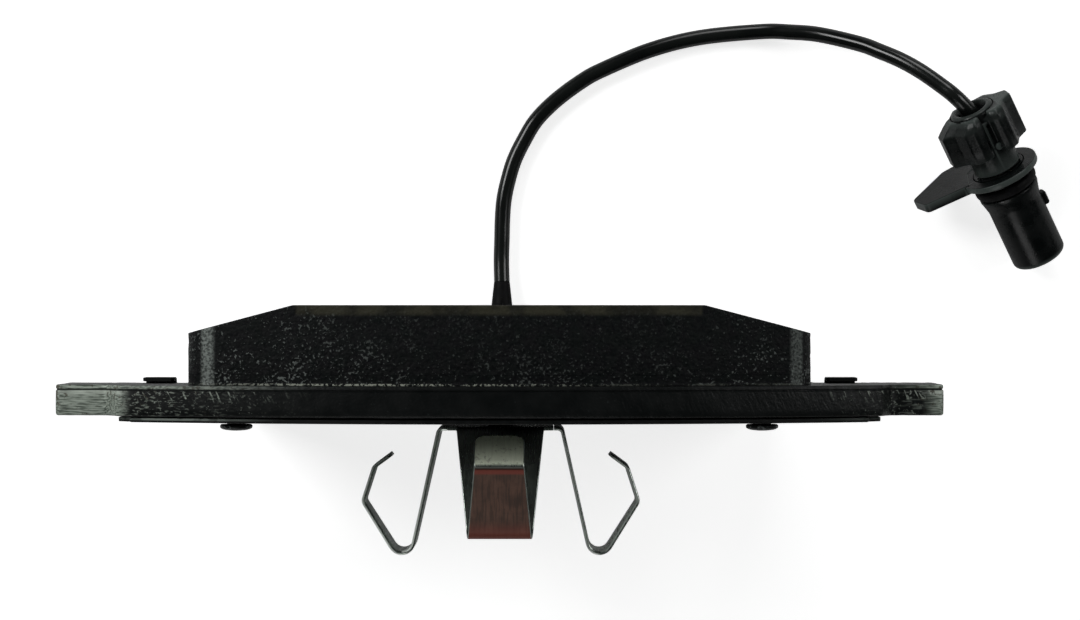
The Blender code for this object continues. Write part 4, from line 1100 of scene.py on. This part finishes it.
def clip_fingers():
    """Three sprung fingers. On the top finger the along mask runs from the far bend to the
    crest, the tint mask is 1 on the outward face between those two, and the tip mask is 1 on
    the outward face beyond the crest."""
    lift = STAND @ Matrix.Translation((0, 0, CLIP_Z))
    widths, _ = finger_widths(SIDE_FINGER, 1)
    for side, label in ((-1, "left"), (1, "right")):
        grid, _ = bar(SIDE_FINGER, widths, STRIP, edge=0.0003)
        # Painted highlight mask: the left half of the rounded edge along the top of a side finger.
        leftward = side * (grid[..., 0] - SIDE_FINGER[:, 0, None]) < -0.00002
        burnish = leftward & (grid[..., 2] > widths[:, None] - 0.00031)
        grid = grid * (side, 1, 1)
        made = shell(grid, burnish=burnish.astype(float))
        made = piece(f"finger_{label}", made, SPRING, f"{label}_finger", lift)
        flat_normals(made)
    widths, bend = finger_widths(TOP_FINGER, 0)
    grid, run = bar(TOP_FINGER, widths, STRIP, True)
    crest = run[np.argmax(TOP_FINGER[:, 1])]
    along = ((run - bend) / (crest - bend))[:, None]
    flat = np.abs(grid[..., 0]) < widths[:, None] - 0.0001
    outward_face = flat & (grid[..., 2] > TOP_FINGER[:, 1, None])
    tint = outward_face * np.clip((along + 0.02) / 0.02, 0, 1) * np.clip((1.0 - along) / 0.02, 0, 1)
    tip = outward_face * np.clip((along - 1.0) / 0.02, 0, 1)
    made = shell(grid, along=np.clip(along, 0, 1), tint=tint, tip=tip)
    flat_normals(piece("finger_top", made, SPRING, "top_finger", lift))


def clip_base():
    """Flat cross of the clip: three arms that the fingers carry on from, and a round tail."""
    w = CLIP_HALF_WIDTH
    arm = CLIP_ARM
    corners = [
        (w, -CLIP_TAIL, 0.002),
        (w, -w, 0.00015),
        (arm, -w, 0.0001),
        (arm, w, 0.0001),
        (w, w, 0.00015),
        (w, arm, 0.0001),
        (-w, arm, 0.0001),
        (-w, w, 0.00015),
        (-arm, w, 0.0001),
        (-arm, -w, 0.0001),
        (-w, -w, 0.00015),
        (-w, -CLIP_TAIL, 0.002),
    ]
    outline = evenly(rounded(corners), 0.0003) + (0, CLIP_Z)
    made = slab(outline, edged(CLIP_Y + STRIP / 2, CLIP_Y - STRIP / 2, 0.0001, 2))
    made = piece("clip_base", made, SPRING)
    flat_normals(made)


# ---------------------------------------------------------------- wear sensor
def sensor_body():
    """Moulded body in the plate's notch: a foot with a narrow nose that widens into a block."""
    tip_front = POCKET_FRONT - GAP
    front = tip_front - 0.0029
    back = PLATE_BACK + GAP
    nose = RELIEF_START.y - GAP
    wide = POCKET_HALF - GAP
    levels = ((GAP, nose, -0.016, 0.0032), (0.0055, nose, -0.016, 0.0032))
    levels += ((0.0070, front, back, wide), (POCKET_TOP - GAP, front, back, wide))
    rings = []
    for z, y0, y1, w in levels:
        ring = np.array([(-w, y0), (w, y0), (w, y1), (-w, y1)])
        rings.append(np.c_[ring[:, 0] + SENSOR_X, ring[:, 1], np.full(4, z)])
    made = piece("sensor_body", shell(np.array(rings)), NYLON)
    soften(made, 0.0004)


def sensor_tip():
    """Contact block with the slot that holds the wire loop."""
    front = POCKET_FRONT - GAP
    back = front - 0.0026
    top = POCKET_TOP - GAP
    made = box((SENSOR_X - 0.0035, back, 0.0075), (SENSOR_X + 0.0035, front, top))
    made = piece("sensor_tip", made, THERMOSET)
    slot_low = (SENSOR_X - 0.00075, front - SLOT_DEPTH, 0.006)
    carve(made, box(slot_low, (SENSOR_X + 0.00075, front + 0.001, 0.021)))
    soften(made, 0.00025)


def sensor_loop():
    """Wire loop in the slot: a round wire carried along a path with two tight corners."""
    wire = 0.00045
    deep = POCKET_FRONT - GAP - SLOT_DEPTH + wire + GAP
    near = POCKET_FRONT - GAP - wire - GAP
    low = 0.0090
    high = POCKET_TOP - 0.0018
    corners = [(deep, low, 0), (near, low, 0.0005), (near, high, 0.0005), (deep, high, 0)]
    path = evenly(rounded(corners, False), 0.0002, False)
    grid, _ = bar(path, wire, 2 * wire, True, edge=wire * 0.999, centre=SENSOR_X)
    piece("sensor_loop", shell(grid), COPPER)


def strain_relief():
    """Tapered sleeve from the sensor's nose to the free cable, with a low collar at its root
    and four shallow grooves."""
    way = RELIEF_END - RELIEF_START
    length = way.length
    z = np.linspace(0, length, 70)
    radius = np.interp(z / length, [0, 0.69, 1], [0.0024, 0.0020, 0.00152])
    for groove in (0.28, 0.40, 0.52, 0.64):
        radius = radius - 0.00018 * np.exp(-(((z / length - groove) / 0.022) ** 2))
    profile = [(radius[0] - 0.0002, z[0]), *zip(radius[1:], z[1:])]
    place = STAND @ Matrix.Translation(RELIEF_START) @ way.to_track_quat("Z", "X").to_matrix().to_4x4()
    return piece("strain_relief", turned(profile, 48), RUBBER, place=place)


def plug_frame():
    """The plug's frame: Z along its heading and tipped down by its tilt, X level."""
    flat = Vector((math.cos(PLUG_HEADING), math.sin(PLUG_HEADING), 0))
    z = flat * math.cos(PLUG_TILT) + Vector((0, 0, -math.sin(PLUG_TILT)))
    x = Vector((-flat.y, flat.x, 0))
    return Matrix.Translation(PLUG_CENTRE) @ Matrix((x, z.cross(x), z)).transposed().to_4x4()


PLUG = STAND @ plug_frame()


def smooth_route(points):
    """Points on the Catmull-Rom curve through the route: on each span, the cubic whose slope
    at a point is half the step between that point's neighbours."""
    ends = np.vstack([2 * points[0] - points[1], points, 2 * points[-1] - points[-2]])
    a, b, c, d = (ends[k : len(ends) - 3 + k, None] for k in range(4))
    t = np.linspace(0, 1, 24, endpoint=False)[None, :, None]
    curve = b * 2 + (c - a) * t + (a * 2 - b * 5 + c * 4 - d) * t**2 + (b * 3 - a - c * 3 + d) * t**3
    fine = np.vstack([(curve / 2).reshape(-1, 3), points[-1:]])
    return evenly(fine, CABLE_STEP, False)


def sensor_cable():
    """Round cable, straight out of the sleeve, along the surface and up into the plug."""
    route = [STAND @ Vector(point) for point in CABLE_ROUTE]
    route += [PLUG @ Vector(CABLE_APPROACH), PLUG @ Vector((0, 0, CABLE_SEAT))]
    line = smooth_route(np.array(route))
    curve = bpy.data.curves.new("sensor_cable", "CURVE")
    curve.dimensions = "3D"
    curve.bevel_depth = CABLE_R
    curve.bevel_resolution = 8
    curve.use_fill_caps = True
    spline = curve.splines.new("POLY")
    spline.points.add(len(line) - 1)
    spline.points.foreach_set("co", np.c_[line, np.ones(len(line))].ravel())
    curve.materials.append(JACKET)
    made = bpy.data.objects.new("sensor_cable_skin", curve)
    bpy.context.collection.objects.link(made)
    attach(made, "pad")
    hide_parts("sensor_cable")
    length = float(np.linalg.norm(np.diff(line, axis=0), axis=1).sum())
    return made, line[0], length


# ---------------------------------------------------------------- plug
def plug_barrel():
    """Front shell: journal for the ring, groove for the seal, then a plain barrel with a
    rolled rim and one key lug on its side."""
    profile = [
        (BARREL_BORE, -0.0001),
        (0.0050, -0.0001),
        (0.0050, 0.00155),
        (0.0057, 0.00155),
        (0.0057, 0.0020),
        (0.0047, 0.0020),
        (0.0047, 0.0045),
        (0.0056, 0.0045),
        (0.0058, 0.0047),
        (0.0058, 0.0051),
        (0.0057, 0.0054),
        (0.00535, 0.0069),
        (0.00523, 0.0074),
    ]
    profile += [(BARREL_R, z) for z in np.linspace(0.0078, BARREL_END - 0.0012, 8)]
    turn = np.linspace(0, math.pi / 2, 7)[1:]
    rim_r = 0.0010
    profile += [(BARREL_R - rim_r * (1 - math.cos(t)), BARREL_END - rim_r * (1 - math.sin(t))) for t in turn]
    profile += [(BARREL_BORE + 0.00015, BARREL_END), (BARREL_BORE, BARREL_END - 0.00015)]
    points, faces, masks = turned(profile, 96, True)
    reach = np.hypot(points[:, 0], points[:, 1])
    # The edge mask marks where the nylon's painted highlight goes.
    masks["edge"] = np.clip((points[:, 2] - BARREL_END + 0.0011) / 0.0006, 0, 1) * (reach > 0.004)
    made = piece("plug_barrel", (points, faces, masks), NYLON, place=PLUG)
    lug = [(-0.001, 0.0083), (0.001, 0.0083), (0.001, 0.0110), (-0.001, 0.0110)]
    lug = rounded([(*corner, 0.0003) for corner in lug])
    section = [(BARREL_R - 0.0006, 0), (BARREL_R + 0.0006, 0), (BARREL_R + 0.0009, 0.0003)]
    points, faces, masks = slab(evenly(lug, 0.0002), section)
    # The edge mask marks where the nylon's painted highlight goes.
    carve(made, (points[:, [1, 0, 2]], faces, {"edge": masks["rim"] * 0.5}), "UNION", PLUG)
    flat_normals(made)


def plug_housing():
    """Rear housing. Its outline has a wing on each side and two round ribs on top with a
    channel between. Towards the cable the left wing is cut back and the ribs dip. A pip, a slot
    and a small hole are set in the channel, and a round neck reaches the ring."""
    corners = [
        (-0.0040, -0.0056, 0.0010),
        (0.0040, -0.0056, 0.0010),
        (0.0058, -0.0030, 0.0010),
        (0.0077, -0.0018, 0.0004),
        (0.0077, 0.0013, 0.0004),
        (0.0057, 0.0028, 0.0008),
        (0.0046, 0.0052, 0.0010),
        (0.0031, 0.0061, 0.0008),
        (0.0018, 0.0056, 0.0004),
        (0.0014, 0.0044, 0.0003),
        (-0.0002, 0.0044, 0.0003),
        (-0.0006, 0.0055, 0.0005),
        (-0.0022, 0.0062, 0.0013),
        (-0.0041, 0.0053, 0.0010),
        (-0.0056, 0.0028, 0.0008),
        (-0.0077, 0.0013, 0.0004),
        (-0.0077, -0.0018, 0.0004),
        (-0.0058, -0.0030, 0.0010),
    ]
    outline = evenly(rounded(corners), 0.00018)
    normal = outward(outline)
    levels = (
        (-0.0044, 1, 1, 1, 0.00030),
        (-0.00448, 1, 1, 1, 0.00012),
        (-0.0047, 1, 1, 1, 0.0),
        (-0.0072, 1, 1, 1, 0.0),
        (-0.0106, 1, 1, 1, 0.0),
        (-0.0110, 0.94, 1, 1, 0.0),
        (-0.0119, 0.80, 1, 0.99, 0.0),
        (-0.0126, 0.68, 1, 0.88, 0.0),
        (-0.0128, 0.65, 0.99, 0.86, 0.0001),
        (-0.0129, 0.64, 0.98, 0.85, 0.0003),
    )
    rings = []
    for z, left, right, tall, inset in levels:
        x = outline[:, 0] * np.where(outline[:, 0] < 0, left, right)
        ring = np.stack([x, outline[:, 1] * tall], 1) - normal * inset
        rings.append(np.c_[ring, np.full(len(ring), z)])
    # The edge mask marks where the nylon's painted highlight goes.
    edge = np.array([1, 1, 0.2, 0, 0.1, 0.3, 0.2, 0.6, 1, 1])[:, None]
    made = piece("plug_housing", shell(np.array(rings), edge=edge), NYLON, place=PLUG, crease=32)
    neck = [(0.0043, -0.0004), (0.0045, -0.0006), (0.0045, -0.0110), (0.0043, -0.0112)]
    carve(made, turned(neck, 72), "UNION", PLUG)
    carve(made, turned([(0.0026, 0.002), (0.0026, -0.014)], 48), "DIFFERENCE", PLUG)
    carve(made, turned([(0.0044, -0.01122), (0.0044, -0.014)], 64), "DIFFERENCE", PLUG)
    upright = Matrix.Rotation(-math.pi / 2, 3, "X")
    pip = turned([(0.00075, 0), (0.00075, 0.0013), (0.0006, 0.0015), (0.0001, 0.00155)], 24)
    carve(made, shifted(pip, (0.0011, 0.0034, -0.0056), upright), "UNION", PLUG)
    hole = turned([(0.00038, -0.001), (0.00038, 0.003)], 20)
    carve(made, shifted(hole, (0.0008, 0.0042, -0.0101), upright), "DIFFERENCE", PLUG)
    carve(made, box((-0.00075, 0.0040, -0.0077), (-0.00035, 0.0062, -0.0062)), "DIFFERENCE", PLUG)
    flat_normals(made)


def plug_collar():
    """Round end cap whose mouth flares towards the cable."""
    start = -0.01125
    end = -0.0134
    turn = np.linspace(0, math.pi / 2, 7)
    profile = [(0.0042, start), (0.0043, start - 0.0001)]
    profile += [(0.0034 + 0.0009 * math.cos(t), end + 0.0009 - 0.0009 * math.sin(t)) for t in turn]
    profile += [(0.0031, end + 0.0001), (0.0026, end + 0.0009), (0.0022, start)]
    points, faces, masks = turned(profile, 72, True)
    # The edge mask marks where the nylon's painted highlight goes.
    masks["edge"] = (points[:, 2] < end + 0.0003).astype(float) * 0.5
    made = piece("plug_collar", (points, faces, masks), NYLON, place=PLUG)
    flat_normals(made)


def plug_insides():
    """Seal at the cable end, insert with its two contacts, and the two cores."""
    seal = turned([(0.0021, -0.0109), (0.0023, -0.0107), (0.0023, -0.0086), (0.0021, -0.0084)])
    seal = piece("cable_seal", seal, RUBBER, place=PLUG)
    insert = [(0.0034, 0.0015), (0.0036, 0.0017), (0.0036, 0.0171), (0.0034, 0.0173)]
    carrier = piece("contact_carrier", turned(insert), CARRIER, place=PLUG)
    for side, label in ((-1, "left"), (1, "right")):
        bore = shifted(turned([(0.0008, -0.012), (0.0008, -0.007)], 20), (side * CORE_X, 0, 0))
        carve(seal, bore, "DIFFERENCE", PLUG)
        bore = shifted(turned([(0.0011, 0.0), (0.0011, 0.019)], 32), (side * CONTACT_X, 0, 0))
        carve(carrier, bore, "DIFFERENCE", PLUG)
        pin = [(0.0007, -0.0063), (0.0008, -0.0062), (0.0008, -0.0020), (0.00065, -0.0015), (0.00065, 0.0160)]
        pin += [(0.00055, 0.0165), (0.00035, 0.0168)]
        contact = shifted(turned(pin, 32), (side * CONTACT_X, 0, 0))
        piece(f"contact_{label}", contact, BRASS, place=PLUG)
        core = turned([(0.00045, -0.0110), (0.0005, -0.01095), (0.0005, -0.0066)], 24)
        core = shifted(core, (side * CORE_X, 0, 0))
        piece(f"core_{label}", core, CORE, place=PLUG)
    flat_normals(seal)
    flat_normals(carrier)


def seal_ring():
    """Rubber ring with a round back and a square foot in the barrel's groove."""
    turn = np.linspace(-math.pi / 2, math.pi / 2, 13)
    back = [(0.0056 + 0.0005 * math.cos(t), 0.00325 + 0.00092 * math.sin(t)) for t in turn]
    profile = [(0.0050, 0.00233), *back, (0.0050, 0.00417)]
    piece("seal_ring", turned(profile, 80, True), RUBBER, place=PLUG)


def lock_ring():
    """Ring with rounded edges, and its flat lever with a round-cornered end."""
    round_r = 0.00022
    turn = np.linspace(0, math.pi / 2, 5)
    profile = [(RING_BORE, 0), (RING_R - round_r, 0)]
    profile += [(RING_R - round_r + round_r * math.sin(t), round_r - round_r * math.cos(t)) for t in turn[1:]]
    top = RING_THICKNESS - round_r
    profile += [(RING_R - round_r + round_r * math.cos(t), top + round_r * math.sin(t)) for t in turn]
    profile += [(RING_BORE, RING_THICKNESS)]
    points, faces, masks = turned(profile, 96, True)
    # The edge mask marks where the nylon's painted highlight goes.
    masks["edge"] = (np.hypot(points[:, 0], points[:, 1]) > RING_R - 0.0001).astype(float)
    made = piece("lock_ring", (points, faces, masks), NYLON, "lever_ring", PLUG)
    corners = [
        (-0.0066, 0.0010, 0.0003),
        (-0.0156, -0.0008, 0.0012),
        (-0.0167, -0.0060, 0.0014),
        (-0.0083, -0.0118, 0.0015),
        (-0.0052, -0.0118, 0.0015),
        (-0.0020, -0.0064, 0.0002),
        (-0.0050, -0.0050, 0.0002),
    ]
    outline = evenly(rounded(corners), 0.0002)
    points, faces, masks = slab(outline, edged(-0.0001, LEVER_THICKNESS, 0.0002, 3), False)
    # The edge mask marks where the nylon's painted highlight goes.
    carve(made, (points, faces, {"edge": masks["rim"]}), "UNION", PLUG)
    flat_normals(made)


# ---------------------------------------------------------------- studio
def floor():
    """Wide pale floor at the level that the pad stands on."""
    reach = 1.6
    ring = np.array([(-reach, -reach), (reach, -reach), (reach, reach), (-reach, reach)])
    mesh = bpy.data.meshes.new("floor")
    mesh.from_pydata(np.c_[ring, np.full(4, FLOOR_Z)], [], [(0, 1, 2, 3)])
    mesh.materials.append(finish("floor_white", floor_white, specular=0.0))
    made = bpy.data.objects.new("floor", mesh)
    bpy.context.collection.objects.link(made)


def floor_white(tree, place):
    """Matt white translucent sheet, lit evenly from behind and softly from above."""
    tone = mottled(tree, place, 30.0, (0.86, 0.86, 0.86), (0.88, 0.88, 0.88))
    seen = node(tree, "LightPath").outputs["Is Camera Ray"]
    glow = {"Emission Color": blended(tree, seen, (0, 0, 0), (1, 1, 1)), "Emission Strength": 0.74}
    return {"Base Color": tone["Colour"], "Roughness": 0.9, **glow}, tone["Value"], 0.0


def softbox(name, place, size, power, colour=(1, 1, 1)):
    """A square soft light that faces the middle of the pad."""
    data = bpy.data.lights.new(name, "AREA")
    data.size = size
    data.energy = power
    data.color = colour
    made = bpy.data.objects.new(name, data)
    bpy.context.collection.objects.link(made)
    made.location = place
    made.rotation_euler = (-Vector(place)).to_track_quat("-Z", "Y").to_euler()


def studio():
    """Softboxes on all four sides, the strongest at the upper left, and a dim grey sky."""
    softbox("key_left", (-0.75, 0.40, 0.62), 0.40, 4.4)
    softbox("fill_right", (0.80, 0.25, 0.60), 0.40, 2.0)
    softbox("fill_front", (-0.15, -0.85, 0.50), 0.45, 1.5)
    softbox("fill_back", (0.10, 0.90, 0.45), 0.45, 2.2)
    world = bpy.data.worlds.new("dim_sky")
    world.use_nodes = True
    sky = world.node_tree.nodes["Background"]
    sky.inputs["Color"].default_value = (0.9, 1.0, 0.95, 1)
    sky.inputs["Strength"].default_value = 0.03
    bpy.context.scene.world = world
    view = bpy.context.scene.view_settings
    view.view_transform = "Standard"
    view.look = "None"


def camera():
    """Camera straight above the pad's outer edge, as the pad lies on a table."""
    data = bpy.data.cameras.new("camera")
    data.sensor_width = 36.0
    data.lens = VIEW_LENS
    data.clip_start = 0.05
    made = bpy.data.objects.new("camera", data)
    bpy.context.collection.objects.link(made)
    made.location = VIEW_PLACE
    bpy.context.scene.camera = made


camera()
studio()
floor()
CABLE, CABLE_EXIT, CABLE_LENGTH = sensor_cable()
strain_relief()
backing_plate()
friction_block()
underlayer()
damping_shim()
RIVET_END = PLATE_FRONT - GAP
for sign, word in ((-1, "left"), (1, "right")):
    place_x = sign * SHIM_RIVET[0]
    seat = SHIM_BACK - GAP
    rivet(f"shim_rivet_{word}", 0.0028, 0.0011, 0.0016, seat, RIVET_END, place_x, SHIM_RIVET[1])
CLIP_SHOULDER = (0.0045, SHIM_BACK - GAP, CLIP_Y + STRIP / 2 + GAP)
CLIP_SEAT = CLIP_Y - STRIP / 2 - GAP
rivet("clip_rivet", 0.0034, 0.0014, 0.0023, CLIP_SEAT, RIVET_END, 0, CLIP_Z, CLIP_SHOULDER)
clip_base()
clip_fingers()
sensor_body()
sensor_tip()
sensor_loop()
plug_barrel()
plug_housing()
plug_collar()
plug_insides()
seal_ring()
lock_ring()

ON_CABLE = ["strain_relief", "plug_barrel", "plug_housing", "plug_collar", "cable_seal", "contact_carrier"]
ON_CABLE += ["contact_left", "contact_right", "core_left", "core_right", "seal_ring", "lock_ring"]
